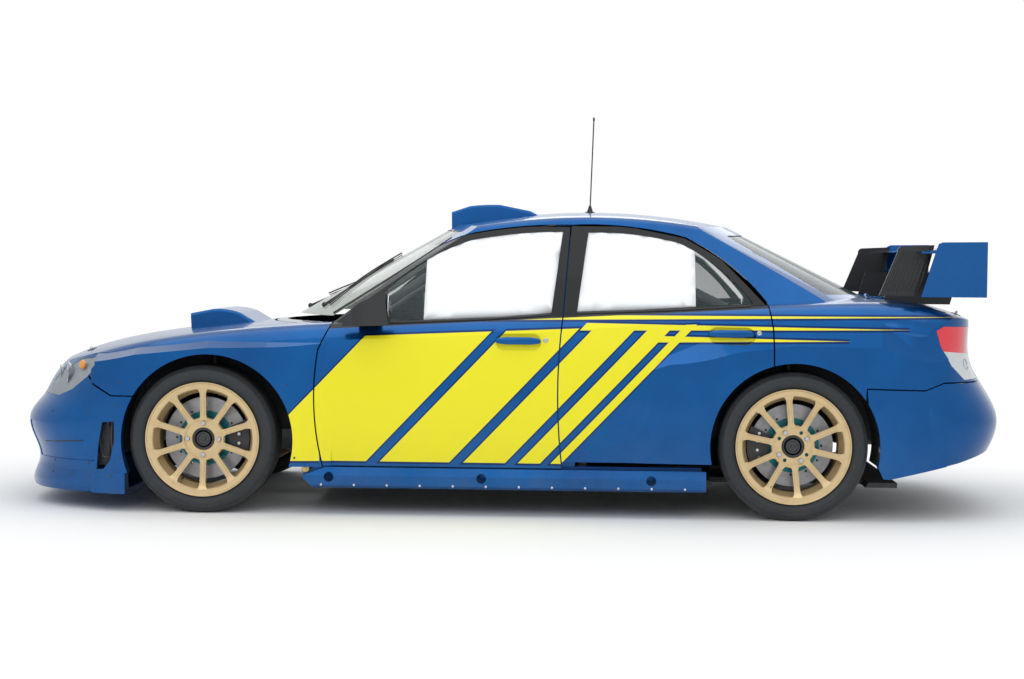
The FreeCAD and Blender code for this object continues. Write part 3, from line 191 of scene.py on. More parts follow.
def finish(name, wire, **plain):
    """A material with one Principled BSDF: plain values go on its sockets, wire links the rest."""
    made = bpy.data.materials.new(name)
    made.use_nodes = True
    shader = made.node_tree.nodes["Principled BSDF"]
    for key, value in plain.items():
        shader.inputs[key.replace("_", " ")].default_value = value
    wire(Sheet(made.node_tree), shader.inputs)
    return made


FLOAT, VECTOR = "NodeSocketFloat", "NodeSocketVector"


# ---------------------------------------------------------------- shared effects
def wire_dust(sheet, given, out):
    """Road dust that thickens low on the car, broken up by noise."""
    z = sheet.split(given["Place"])[2]
    low = sheet.spread(z, given["Top"], 0.02)
    patchy = sheet.grain(given["Place"], 9.0, 4.0, 0.65)
    speck = sheet.grain(given["Place"], 70.0, 2.0, 0.7)
    amount = sheet.times(low, sheet.spread(patchy, 0.32, 0.72))
    amount = sheet.times(amount, sheet.spread(speck, 0.35, 0.75, 0.5, 1.0))
    sheet.link(sheet.times(amount, given["Amount"], clamp=True), out["Mask"])


road_dust = group("road_dust", [("Place", VECTOR, None), ("Top", FLOAT, 0.4), ("Amount", FLOAT, 0.4)],
                  [("Mask", FLOAT)], wire_dust)


def wire_wear(sheet, given, out):
    """A tone that wanders gently over a surface, with fine scuffs."""
    broad = sheet.grain(given["Place"], 3.0, 3.0, 0.6)
    fine = sheet.grain(given["Place"], 140.0, 3.0, 0.7, 0.4)
    sheet.fill(out, Tone=sheet.spread(broad, 0.3, 0.7, 0.0, 1.0), Scuff=sheet.spread(fine, 0.62, 0.8))


handling = group("handling_wear", [("Place", VECTOR, None)], [("Tone", FLOAT), ("Scuff", FLOAT)], wire_wear)


def wire_weave(sheet, given, out):
    """Twill: two sets of threads that cross in steps."""
    x, y, z = sheet.split(given["Place"])
    u = sheet.times(sheet.plus(x, z), given["Threads"])
    v = sheet.times(sheet.minus(sheet.plus(x, y), z), given["Threads"])
    row = sheet.maths("FLOOR", v)
    step = sheet.maths("FRACT", sheet.plus(u, sheet.times(row, 0.25)))
    weft = sheet.maths("GREATER_THAN", step, 0.5)
    round_v = sheet.absolute(sheet.minus(sheet.maths("FRACT", v), 0.5))
    round_u = sheet.absolute(sheet.minus(sheet.maths("FRACT", u), 0.5))
    high = sheet.minus(0.5, sheet.maths("MINIMUM", round_u, round_v))
    sheet.fill(out, Weft=weft, Height=high)


twill = group("twill_weave", [("Place", VECTOR, None), ("Threads", FLOAT, 250.0)],
              [("Weft", FLOAT), ("Height", FLOAT)], wire_weave)


def wire_flake(sheet, given, out):
    """Metal flake under lacquer: bright and dull specks and a faint orange peel."""
    cells = sheet.node("ShaderNodeTexVoronoi")
    sheet.link(given["Place"], cells.inputs["Vector"])
    cells.inputs["Scale"].default_value = 900.0
    spark = sheet.split(cells.outputs["Color"])[0]
    sheet.fill(out, Spark=sheet.spread(spark, 0.0, 1.0, 0.88, 1.14),
               Peel=sheet.grain(given["Place"], 260.0, 1.0))


flake = group("metal_flake", [("Place", VECTOR, None)], [("Spark", FLOAT), ("Peel", FLOAT)], wire_flake)


LEAN = 0.95  # how far a bar leans back for each metre of height
BARS = ((0.82, 1.34), (0.46, 0.76), (0.22, 0.4), (0.07, 0.165), (-0.02, 0.025))  # tail and nose edges
BAR_FOOT, BAR_HEAD = 0.232, 0.8
BELT_SLOPE, BELT_HEIGHT = -0.056, 0.844  # the line over which a door is black


def wire_bars(sheet, given, out):
    """Yellow slanted bars on the doors that narrow towards the tail, with tapering shoulder stripes."""
    x, y, z = sheet.split(given["Place"])
    flank = sheet.over(sheet.absolute(y), 0.6, 0.01)
    lean = sheet.plus(x, sheet.times(z, LEAN))
    grow = given["Grow"]

    def band(low, high):
        """One leaning bar between two leaning lines, a foot line and a head line that rises to the tail."""
        rise = sheet.times(x, -0.045)
        top = sheet.minus(sheet.plus(rise, BAR_HEAD), z)
        return sheet.both(sheet.over(sheet.plus(lean, grow), low),
                          sheet.under(sheet.minus(lean, grow), high),
                          sheet.over(sheet.plus(z, grow), BAR_FOOT), sheet.over(sheet.plus(top, grow), 0.0))

    def streak(level, slope, thick, tail, nose):
        """A stripe along the shoulder that thins to a point at its tail."""
        middle = sheet.plus(sheet.times(x, slope), level)
        taper = sheet.spread(x, tail, nose, 0.0, thick)
        off = sheet.absolute(sheet.minus(z, middle))
        inside = sheet.over(sheet.minus(sheet.plus(taper, grow), off), 0.0)
        return sheet.both(inside, sheet.under(sheet.plus(x, sheet.times(z, LEAN)), nose + 0.8),
                          sheet.over(x, tail, 0.004))

    bars = sheet.either(*[band(*edges) for edges in BARS])
    stripes = sheet.either(streak(0.858, -0.01, 0.012, -1.98, 0.1), streak(0.822, 0.0, 0.016, -1.72, -0.35),
                           streak(0.772, 0.0, 0.013, -1.46, -0.7))
    sheet.link(sheet.both(flank, sheet.either(bars, stripes)), out["Mask"])


livery = group("slanted_livery", [("Place", VECTOR, None), ("Grow", FLOAT, 0.0)], [("Mask", FLOAT)],
               wire_bars)


# ---------------------------------------------------------------- finishes
def body_paint(name, framed, barred=True):
    """Metallic blue under lacquer with the yellow bars.

    A framed one turns black round the side windows; any other has stripes near the car's ends only.
    """

    def wire(sheet, shader):
        place = sheet.place()
        x, y, z = sheet.split(place)
        outer = sheet.outward(y)
        if not framed:
            outer = sheet.both(outer, sheet.either(sheet.under(x, -1.0), sheet.over(x, 0.8)))
        yellow = sheet.both(outer, use(sheet, livery, Place=place, Grow=0.0)["Mask"])
        edge = sheet.both(outer, use(sheet, livery, Place=place, Grow=0.009)["Mask"])
        specks = use(sheet, flake, Place=place)
        dust = use(sheet, road_dust, Place=place, Top=0.42, Amount=0.22)["Mask"]
        tone = use(sheet, handling, Place=place)
        depth = sheet.blend(sheet.times(tone["Tone"], 0.35), BLUE, DEEP_BLUE)
        scaled = sheet.node("ShaderNodeVectorMath", operation="SCALE")
        sheet.link(depth, scaled.inputs[0])
        sheet.link(specks["Spark"], scaled.inputs["Scale"])
        if not barred:
            yellow = edge = sheet.times(yellow, 0.0)
        colour = sheet.blend(sheet.minus(edge, yellow, clamp=True), scaled.outputs[0], DEEP_BLUE)
        colour = sheet.blend(yellow, colour, YELLOW)
        colour = sheet.blend(dust, colour, DUST)
        solid = yellow
        rough = sheet.plus(sheet.spread(tone["Scuff"], 0.0, 1.0, 0.3, 0.42), sheet.times(dust, 0.4))
        if framed:
            belt = sheet.over(z, sheet.plus(sheet.times(x, BELT_SLOPE), BELT_HEIGHT))
            colour = sheet.blend(belt, colour, (0.012, 0.012, 0.013))
            solid = sheet.either(solid, belt)
            rough = sheet.plus(rough, sheet.times(belt, 0.18))
        sheet.fill(shader, Base_Color=colour, Metallic=sheet.spread(solid, 0.0, 1.0, 0.8, 0.0),
                   Roughness=rough,
                   Coat_Weight=sheet.spread(sheet.plus(solid, dust, clamp=True), 0.0, 1.0, 0.8, 0.4),
                   Normal=sheet.bump(specks["Peel"], 0.06, 0.0004))

    return finish(name, wire, **LACQUER)


car_blue = body_paint("car_blue", False)
door_blue = body_paint("door_blue", True)
car_plain = body_paint("car_plain", False, barred=False)


def grained(name, colour, second, scale, rough, bump, distance=0.0004, metal=0.0, dusty=0.0, top=0.5, **coat):
    """A finish with grain in its colour, roughness and surface, and road dust low down."""

    def wire(sheet, shader):
        place = sheet.place()
        fine = sheet.grain(place, scale, 3.0, 0.6)
        wear = use(sheet, handling, Place=place)
        mixed = sheet.blend(sheet.spread(fine, 0.35, 0.65), colour, second)
        spread = sheet.plus(sheet.spread(wear["Tone"], 0.0, 1.0, rough - 0.05, rough + 0.05),
                            sheet.times(wear["Scuff"], 0.08))
        if dusty:
            dust = use(sheet, road_dust, Place=place, Top=top, Amount=dusty)["Mask"]
            mixed = sheet.blend(dust, mixed, (0.22, 0.2, 0.17))
            spread = sheet.plus(spread, sheet.times(dust, 0.3))
        if metal:
            sheet.link(sheet.spread(wear["Scuff"], 0.0, 1.0, metal, metal * 0.8), shader["Metallic"])
        sheet.fill(shader, Base_Color=mixed, Roughness=spread, Normal=sheet.bump(fine, bump, distance))

    return finish(name, wire, **coat)


black_trim = grained("black_trim", (0.012, 0.012, 0.013), (0.022, 0.022, 0.024), 900.0, 0.42, 0.25)
black_gloss = grained("black_gloss", (0.008, 0.008, 0.009), (0.013, 0.013, 0.014), 300.0, 0.18, 0.03,
                      Coat_Weight=0.6, Coat_Roughness=0.05)
rubber = grained("rubber", (0.01, 0.01, 0.011), (0.02, 0.02, 0.021), 500.0, 0.62, 0.2, dusty=0.3)
underseal = grained("underseal", (0.03, 0.033, 0.038), (0.05, 0.052, 0.058), 120.0, 0.7, 0.5, 0.0012,
                    dusty=0.35, top=0.6)
dark_steel = grained("dark_steel", (0.035, 0.036, 0.04), (0.06, 0.06, 0.064), 260.0, 0.42, 0.15, metal=0.5,
                     dusty=0.25)
bright_steel = grained("bright_steel", (0.52, 0.52, 0.54), (0.62, 0.62, 0.63), 420.0, 0.26, 0.08, metal=1.0)
brass = grained("brass", (0.62, 0.44, 0.16), (0.7, 0.5, 0.2), 420.0, 0.3, 0.08, metal=1.0)
cast_alloy = grained("cast_alloy", (0.36, 0.36, 0.37), (0.46, 0.46, 0.47), 340.0, 0.46, 0.4, 0.0006,
                     metal=0.9)
heat_steel = grained("heat_steel", (0.34, 0.3, 0.25), (0.22, 0.19, 0.18), 22.0, 0.36, 0.08, metal=0.95,
                     dusty=0.2)
cage_grey = grained("cage_grey", (0.36, 0.38, 0.4), (0.41, 0.43, 0.45), 420.0, 0.38, 0.12)
dash_flock = grained("dash_flock", (0.016, 0.016, 0.018), (0.032, 0.032, 0.034), 1500.0, 0.92, 0.5, 0.0008)
white_board = grained("white_board", (0.86, 0.87, 0.88), (0.89, 0.9, 0.9), 240.0, 0.42, 0.04)
plate_white = grained("plate_white", (0.74, 0.75, 0.76), (0.78, 0.79, 0.79), 300.0, 0.5, 0.05)
teal_anodised = grained("teal_anodised", (0.02, 0.2, 0.22), (0.03, 0.26, 0.28), 420.0, 0.32, 0.1, metal=0.85)
red_paint = grained("red_paint", (0.5, 0.015, 0.018), (0.58, 0.02, 0.022), 240.0, 0.34, 0.06, Coat_Weight=0.5)
amber = grained("amber", (0.75, 0.26, 0.02), (0.8, 0.3, 0.03), 200.0, 0.2, 0.05, Coat_Weight=0.6)
mirror_glass = grained("mirror_glass", (0.7, 0.73, 0.75), (0.74, 0.76, 0.78), 30.0, 0.08, 0.0, metal=1.0)


def wire_gold(sheet, shader):
    """Satin gold with patches of brake dust and a faint flake."""
    place = sheet.place()
    specks = use(sheet, flake, Place=place)
    patchy = sheet.grain(place, 26.0, 4.0, 0.6)
    colour = sheet.blend(sheet.spread(patchy, 0.45, 0.75, 0.0, 0.5), (0.66, 0.49, 0.26), (0.5, 0.36, 0.19))
    sheet.fill(shader, Base_Color=colour, Roughness=sheet.spread(patchy, 0.3, 0.8, 0.34, 0.46),
               Metallic=sheet.spread(patchy, 0.3, 0.8, 0.66, 0.5),
               Normal=sheet.bump(specks["Peel"], 0.08, 0.0003))


gold_paint = finish("gold_paint", wire_gold, Coat_Weight=0.35, Coat_Roughness=0.12)


def from_axle(sheet, place):
    """How far a place is from the nearer axle's line."""
    x, _, z = sheet.split(place)
    half = (AXLE_X["front"] - AXLE_X["rear"]) / 2
    middle = (AXLE_X["front"] + AXLE_X["rear"]) / 2
    axle = sheet.plus(sheet.times(sheet.maths("SIGN", x), half), middle)
    return sheet.reach(sheet.minus(x, axle), sheet.minus(z, WHEEL_Z))


def wire_tyre(sheet, shader):
    """Slick rubber: raised rings on the wall, a scrubbed tread and dust."""
    place = sheet.place()
    radius = from_axle(sheet, place)
    rings = sheet.maths("SINE", sheet.times(radius, 1250.0))
    wall = sheet.both(sheet.over(radius, 0.252), sheet.under(radius, 0.292))
    tread = sheet.over(radius, 0.308, 0.004)
    fine = sheet.grain(place, 600.0, 3.0, 0.6)
    scrub = sheet.grain(place, 60.0, 4.0, 0.7)
    dust = use(sheet, road_dust, Place=place, Top=0.7, Amount=0.3)["Mask"]
    colour = sheet.blend(sheet.spread(scrub, 0.4, 0.7), (0.01, 0.013, 0.016), (0.02, 0.024, 0.028))
    colour = sheet.blend(sheet.both(tread, sheet.spread(scrub, 0.3, 0.7, 0.3, 0.8)), colour,
                         (0.055, 0.053, 0.05))
    colour = sheet.blend(sheet.times(dust, 0.5), colour, (0.12, 0.11, 0.1))
    height = sheet.plus(sheet.times(sheet.both(rings, wall), 0.45), sheet.times(fine, 0.35))
    sheet.fill(shader, Base_Color=colour, Roughness=sheet.spread(scrub, 0.2, 0.8, 0.5, 0.66),
               Normal=sheet.bump(height, 0.5, 0.001))


tyre_rubber = finish("tyre_rubber", wire_tyre)


def wire_disc(sheet, shader):
    """Turned iron: fine rings on the faces and a bluish tint."""
    place = sheet.place()
    radius = from_axle(sheet, place)
    rings = sheet.maths("SINE", sheet.times(radius, 5200.0))
    swept = sheet.over(radius, 0.118, 0.001)
    patchy = sheet.grain(place, 40.0, 3.0, 0.6)
    colour = sheet.blend(swept, (0.02, 0.15, 0.17), (0.3, 0.3, 0.31))
    colour = sheet.blend(sheet.spread(patchy, 0.5, 0.8, 0.0, 0.4), colour, (0.16, 0.13, 0.11))
    sheet.fill(shader, Base_Color=colour, Roughness=sheet.spread(patchy, 0.3, 0.8, 0.3, 0.42),
               Normal=sheet.bump(sheet.both(rings, swept), 0.2, 0.0003))


brake_iron = finish("brake_iron", wire_disc, Metallic=0.9)


def wire_carbon(sheet, shader):
    place = sheet.place()
    cloth = use(sheet, twill, Place=place, Threads=240.0)
    wear = use(sheet, handling, Place=place)
    sheet.fill(shader, Base_Color=sheet.blend(cloth["Weft"], (0.01, 0.01, 0.011), (0.035, 0.036, 0.038)),
               Roughness=sheet.spread(wear["Scuff"], 0.0, 1.0, 0.26, 0.42),
               Normal=sheet.bump(cloth["Height"], 0.2, 0.0004))


carbon = finish("carbon", wire_carbon, Coat_Weight=0.9, Coat_Roughness=0.05)


def wire_wing(sheet, shader):
    """Blue planes and side plates; the vanes and feet, nearer the middle, are black weave."""
    place = sheet.place()
    x, y, z = sheet.split(place)
    off = sheet.absolute(y)
    vane = sheet.both(sheet.both(sheet.over(off, 0.634), sheet.under(off, 0.646)), sheet.over(x, -1.853))
    foot = sheet.both(sheet.both(sheet.over(off, 0.422), sheet.under(off, 0.438)), sheet.under(z, 1.15))
    black = sheet.either(vane, foot)
    cloth = use(sheet, twill, Place=place, Threads=240.0)
    specks = use(sheet, flake, Place=place)
    dust = use(sheet, road_dust, Place=place, Top=1.6, Amount=0.1)["Mask"]
    paint = sheet.node("ShaderNodeVectorMath", operation="SCALE")
    sheet.link(sheet.blend(0.12, BLUE, DEEP_BLUE), paint.inputs[0])
    sheet.link(specks["Spark"], paint.inputs["Scale"])
    weave = sheet.blend(cloth["Weft"], (0.01, 0.01, 0.011), (0.03, 0.031, 0.033))
    colour = sheet.blend(dust, sheet.blend(black, paint.outputs[0], weave), DUST)
    sheet.fill(shader, Base_Color=colour, Metallic=sheet.spread(black, 0.0, 1.0, 0.8, 0.0),
               Roughness=sheet.spread(black, 0.0, 1.0, 0.32, 0.4),
               Normal=sheet.bump(specks["Peel"], 0.06, 0.0004))


wing_paint = finish("wing_paint", wire_wing, Coat_Weight=1.0, **LACQUER)


def wire_cloth(colour, second):
    def wire(sheet, shader):
        place = sheet.place()
        cloth = use(sheet, twill, Place=place, Threads=420.0)
        fuzz = sheet.grain(place, 700.0, 3.0, 0.7)
        mixed = sheet.blend(sheet.times(cloth["Weft"], sheet.spread(fuzz, 0.2, 0.8)), colour, second)
        sheet.fill(shader, Base_Color=mixed, Roughness=sheet.spread(fuzz, 0.2, 0.8, 0.85, 0.95),
                   Normal=sheet.bump(cloth["Height"], 0.5, 0.0006))
    return wire


seat_cloth = finish("seat_cloth", wire_cloth((0.016, 0.018, 0.026), (0.035, 0.038, 0.05)))
belt_web = finish("belt_web", wire_cloth((0.01, 0.045, 0.2), (0.018, 0.07, 0.27)))
tow_strap = finish("tow_strap", wire_cloth((0.5, 0.03, 0.02), (0.6, 0.05, 0.03)))


def glass(name, tint_and_sheen, alpha, rough=0.02):
    """Thin glazing: mostly see-through, with a gloss that grows at a glance, where the glass also turns
    opaque in its own colour as a painted sheen, and a trace of dust.
    """

    def wire(sheet, shader):
        place = sheet.place()
        dust = sheet.grain(place, 60.0, 4.0, 0.7)
        # painted sheen: the Fresnel share makes the glass opaque in its own colour at a glance
        glance = sheet.node("ShaderNodeFresnel")
        glance.inputs["IOR"].default_value = 1.5
        film = sheet.plus(sheet.spread(dust, 0.4, 0.9, 0.0, 0.03), alpha)
        cover = sheet.plus(film, glance.outputs[0], clamp=True)
        sheet.fill(shader, Alpha=cover, Roughness=sheet.spread(dust, 0.3, 0.8, rough, rough + 0.05),
                   Base_Color=sheet.blend(sheet.spread(dust, 0.5, 0.9, 0.0, 0.3), tint_and_sheen, (0.5, 0.5, 0.48)))

    return finish(name, wire, Metallic=0.0, IOR=1.5)


window_glass = glass("window_glass", (0.05, 0.08, 0.08), 0.22)
# painted reflection: the windscreen's pale colour stands for the white studio mirrored in it
screen_glass = glass("screen_glass", (0.72, 0.75, 0.7), 0.07)
lamp_glass = glass("lamp_glass", (0.55, 0.6, 0.62), 0.08)


def wire_reflector(sheet, shader):
    place = sheet.place()
    ripple = sheet.grain(place, 90.0, 1.0, 0.5)
    sheet.fill(shader, Base_Color=sheet.blend(ripple, (0.42, 0.43, 0.44), (0.62, 0.63, 0.64)),
               Roughness=sheet.spread(ripple, 0.3, 0.7, 0.14, 0.24), Normal=sheet.bump(ripple, 0.15, 0.002))


reflector = finish("reflector", wire_reflector, Metallic=0.9)


def wire_tail(sheet, shader):
    """Red lens above a leaning line, clear below it, ribbed inside, with painted shade that darkens the
    colour along the ribs.
    """
    place = sheet.place()
    x, y, z = sheet.split(place)
    line = sheet.plus(sheet.times(sheet.absolute(x), -0.1), 0.918)
    red = sheet.over(z, line)
    ribs = sheet.maths("SINE", sheet.times(sheet.plus(z, sheet.times(x, 0.25)), 700.0))
    cross = sheet.maths("SINE", sheet.times(y, 520.0))
    colour = sheet.blend(red, (0.62, 0.64, 0.64), (0.78, 0.008, 0.024))
    # painted shade: darker copies of the red and clear colours follow the rib waves
    shade = sheet.spread(ribs, -1.0, 1.0, 0.0, 0.3)
    colour = sheet.blend(shade, colour, sheet.blend(red, (0.34, 0.35, 0.35), (0.46, 0.004, 0.012)))
    sheet.fill(shader, Base_Color=colour, Roughness=sheet.spread(ribs, -1.0, 1.0, 0.1, 0.2),
               Normal=sheet.bump(sheet.plus(ribs, cross), 0.12, 0.0006))


tail_lens = finish("tail_lens", wire_tail, Coat_Weight=1.0, Coat_Roughness=0.03)


def wire_mesh(sheet, shader):
    """Woven wire: diamond holes cut by alpha."""
    place = sheet.place()
    x, y, z = sheet.split(place)
    across = sheet.plus(sheet.times(y, 1.0), sheet.times(x, 0.4))
    a = sheet.absolute(sheet.maths("SINE", sheet.times(sheet.plus(across, z), 300.0)))
    b = sheet.absolute(sheet.maths("SINE", sheet.times(sheet.minus(across, z), 300.0)))
    wire = sheet.either(sheet.under(a, 0.34, 0.05), sheet.under(b, 0.34, 0.05))
    fine = sheet.grain(place, 500.0)
    sheet.fill(shader, Base_Color=sheet.blend(fine, (0.02, 0.02, 0.022), (0.05, 0.05, 0.054)),
               Roughness=sheet.spread(fine, 0.3, 0.7, 0.35, 0.5), Alpha=wire)


wire_grille = finish("wire_grille", wire_mesh, Metallic=0.4)

NODE_FINISH = {
    door_blue: "front_door_left front_door_right rear_door_left rear_door_right",
    car_blue: """roof side_frame_left side_frame_right front_bumper front_fender_left front_fender_right
        bonnet rear_bumper front_splitter boot_lid side_skirts roof_scoop""",
    wing_paint: "rear_wing",
    black_trim: "grille mirror_left mirror_right aerial wipers",
    carbon: "cowl",
    screen_glass: "windscreen",
    window_glass: "rear_window front_glass_left front_glass_right rear_glass_left rear_glass_right",
    lamp_glass: "headlamp_lenses",
    reflector: "headlamp_bowls",
    tail_lens: "tail_lamps",
    seat_cloth: "racing_seats",
    cage_grey: "roll_cage",
    dash_flock: "dashboard steering_wheel",
    cast_alloy: "engine_block",
    heat_steel: "exhaust",
    underseal: "floor_pan wheel_tubs",
    dark_steel: "front_arms rear_arms " + " ".join("knuckle_%s_%s" % (end, side) for end, side, s in CORNERS),
    brake_iron: " ".join("disc_%s_%s" % (end, side) for end, side, s in CORNERS),
    gold_paint: " ".join("rim_%s_%s" % (end, side) for end, side, s in CORNERS),
    tyre_rubber: " ".join("tyre_%s_%s" % (end, side) for end, side, s in CORNERS),
}
for material, names in NODE_FINISH.items():
    for name in names.split():
        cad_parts[name].data.materials.clear()
        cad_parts[name].data.materials.append(material)


# ---------------------------------------------------------------- modelling helpers
def clear():
    if bpy.context.object and bpy.context.object.mode != "OBJECT":
        bpy.ops.object.mode_set(mode="OBJECT")
    bpy.ops.object.select_all(action="DESELECT")


def take(piece):
    clear()
    piece.select_set(True)
    bpy.context.view_layer.objects.active = piece


def apply_place():
    """Puts the chosen piece's place, turn and size into its mesh."""
    bpy.ops.object.transform_apply(location=True, rotation=True, scale=True)


@contextmanager
def editing(piece):
    """Edit mode with the whole of one piece chosen."""
    take(piece)
    bpy.ops.object.mode_set(mode="EDIT")
    bpy.ops.mesh.select_all(action="SELECT")
    yield
    bpy.ops.object.mode_set(mode="OBJECT")


def settle(name):
    """Names the new piece and puts its place, turn and size into its mesh."""
    piece = bpy.context.object
    piece.name = piece.data.name = name
    apply_place()
    return piece


def tidy(piece, angle=35):
    """Merges doubles, points the faces outwards and smooths all but the sharp edges."""
    with editing(piece):
        bpy.ops.mesh.remove_doubles(threshold=0.00001)
        bpy.ops.mesh.normals_make_consistent(inside=False)
    bpy.ops.object.shade_smooth_by_angle(angle=math.radians(angle))
    return piece


def dress(piece, material, body):
    piece.data.materials.clear()
    piece.data.materials.append(material)
    clear()
    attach(piece, body)
    return piece


def block(name, low, high, edge=0.002, steps=2):
    """A box between two corners with its edges bevelled."""
    clear()
    low, high = Vector(low), Vector(high)
    bpy.ops.mesh.primitive_cube_add(size=1, location=(low + high) / 2)
    bpy.context.object.scale = high - low
    piece = settle(name)
    with editing(piece):
        bpy.ops.mesh.bevel(offset=edge, offset_pct=0, segments=steps, affect="EDGES", clamp_overlap=True)
    return tidy(piece)


def turned(name, rings, at, way=(0, 0, 1), steps=32, open_end=False):
    """Turned on an axis: a circle extruded and resized ring by ring, rings as (height, radius)."""
    clear()
    bpy.ops.mesh.primitive_circle_add(vertices=steps, radius=rings[0][1], location=(0, 0, rings[0][0]),
                                      fill_type="NOTHING" if open_end else "NGON")
    piece = settle(name)
    bpy.ops.object.mode_set(mode="EDIT")
    bpy.ops.mesh.select_mode(type="EDGE")
    bpy.ops.mesh.select_all(action="SELECT")
    if not open_end:
        bpy.ops.mesh.select_mode(type="FACE")
        bpy.ops.mesh.select_all(action="SELECT")
    for (height, radius), (next_height, next_radius) in zip(rings, rings[1:]):
        bpy.ops.mesh.extrude_region_move(TRANSFORM_OT_translate={"value": (0, 0, next_height - height)})
        share = next_radius / radius
        bpy.ops.transform.resize(value=(share, share, 1), center_override=(0, 0, next_height))
    bpy.ops.object.mode_set(mode="OBJECT")
    piece.rotation_mode = "QUATERNION"
    piece.rotation_quaternion = Vector((0, 0, 1)).rotation_difference(Vector(way))
    piece.location = at
    take(piece)
    apply_place()
    return tidy(piece)


def plate(name, outline, thick, spot, edge=0.0, steps=2):
    """A flat shape with corners (u, v), extruded; spot turns (u, v, depth) into a place."""
    clear()
    bpy.ops.mesh.primitive_circle_add(vertices=len(outline), radius=1, fill_type="NGON")
    piece = settle(name)
    for point, (u, v) in zip(piece.data.vertices, outline):
        point.co = (u, v, 0)
    with editing(piece):
        bpy.ops.mesh.extrude_region_move(TRANSFORM_OT_translate={"value": (0, 0, thick)})
        bpy.ops.mesh.select_all(action="SELECT")
        bpy.ops.mesh.normals_make_consistent(inside=False)
        if edge:
            bpy.ops.mesh.bevel(offset=edge, offset_pct=0, segments=steps, affect="EDGES", clamp_overlap=True)
    for point in piece.data.vertices:
        point.co = spot(*point.co)
    return tidy(piece)


def hose(name, points, radius, sides=4, order=3):
    """A round bar along one smooth line."""
    clear()
    bpy.ops.curve.primitive_nurbs_path_add()
    piece = settle(name)
    curve = piece.data
    curve.splines.clear()
    line = curve.splines.new("NURBS")
    line.points.add(len(points) - 1)
    for spot, (x, y, z) in zip(line.points, points):
        spot.co = (x, y, z, 1)
    line.order_u, line.use_endpoint_u = order, True
    line.resolution_u = 6
    curve.bevel_depth, curve.bevel_resolution, curve.use_fill_caps = radius, sides, True
    bpy.ops.object.convert(target="MESH")
    piece = bpy.context.object
    piece.name = piece.data.name = name
    return tidy(piece)


def copy_of(piece, name, shift=(0, 0, 0)):
    """A copy with a mesh of its own, set off by a shift."""
    take(piece)
    bpy.ops.object.duplicate(linked=False)
    made = bpy.context.object
    made.name = made.data.name = name
    made.parent = None
    made.location = shift
    apply_place()
    return made


def row_of(piece, shifts):
    """A piece and its copies at shifts from it."""
    return [piece] + [copy_of(piece, piece.name, shift) for shift in shifts]


def both_sides(part):
    """Makes a part on the car's left and then on its right."""
    for side, s in SIDES:
        part(side, s)
    return part


def joined(name, pieces):
    clear()
    for piece in pieces:
        piece.select_set(True)
    bpy.context.view_layer.objects.active = pieces[0]
    if len(pieces) > 1:
        bpy.ops.object.join()
    pieces[0].name = pieces[0].data.name = name
    return pieces[0]


def struck(node, start, way):
    """Where a straight line first meets a CAD piece, and the surface's normal there."""
    hit, spot, normal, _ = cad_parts[node].ray_cast(Vector(start), Vector(way))
    if not hit:
        raise ValueError("no %s from %s" % (node, start))
    return spot, normal


def skin(node, x, z, side, lift=0.0):
    """The place on a CAD piece's outer side at (x, z), lifted along the surface's normal."""
    spot, normal = struck(node, (x, BESIDE * side, z), (0, -side, 0))
    return spot + normal * lift


def top_skin(node, x, y, lift=0.0):
    spot, normal = struck(node, (x, y, ABOVE), (0, 0, -1))
    return spot + normal * lift


def end_skin(node, y, z, ahead, lift=0.0):
    """The place on a CAD piece's front (ahead 1) or back (ahead -1)."""
    spot, normal = struck(node, (BEYOND * ahead, y, z), (-ahead, 0, 0))
    return spot + normal * lift


def small_parts(name, rings, seats, way, steps, material, body):
    """One turned part, copied to each seat and joined in one piece."""
    first = turned(name, rings, seats[0], way, steps)
    shifts = [Vector(seat) - Vector(seats[0]) for seat in seats[1:]]
    dress(joined(name, row_of(first, shifts)), material, body)


def fixings(name, node, spots, depth, rings, steps, s, material):
    """Screw heads let a little way into a CAD piece's outer side at (x, z) spots."""
    seats = [skin(node, x, z, s, -depth) for x, z in spots]
    small_parts(name, rings, seats, (0, s, 0), steps, material, "body")


def mesh_panel(name, columns, place, body):
    """A sheet of wire mesh; place turns shares (u, v) of -0.5 to 0.5 and 0 to 1 into a place."""
    clear()
    bpy.ops.mesh.primitive_grid_add(x_subdivisions=columns, y_subdivisions=2, size=1)
    piece = settle(name)
    for point in piece.data.vertices:
        point.co = place(point.co.x, point.co.y + 0.5)
    dress(tidy(piece), wire_grille, body)


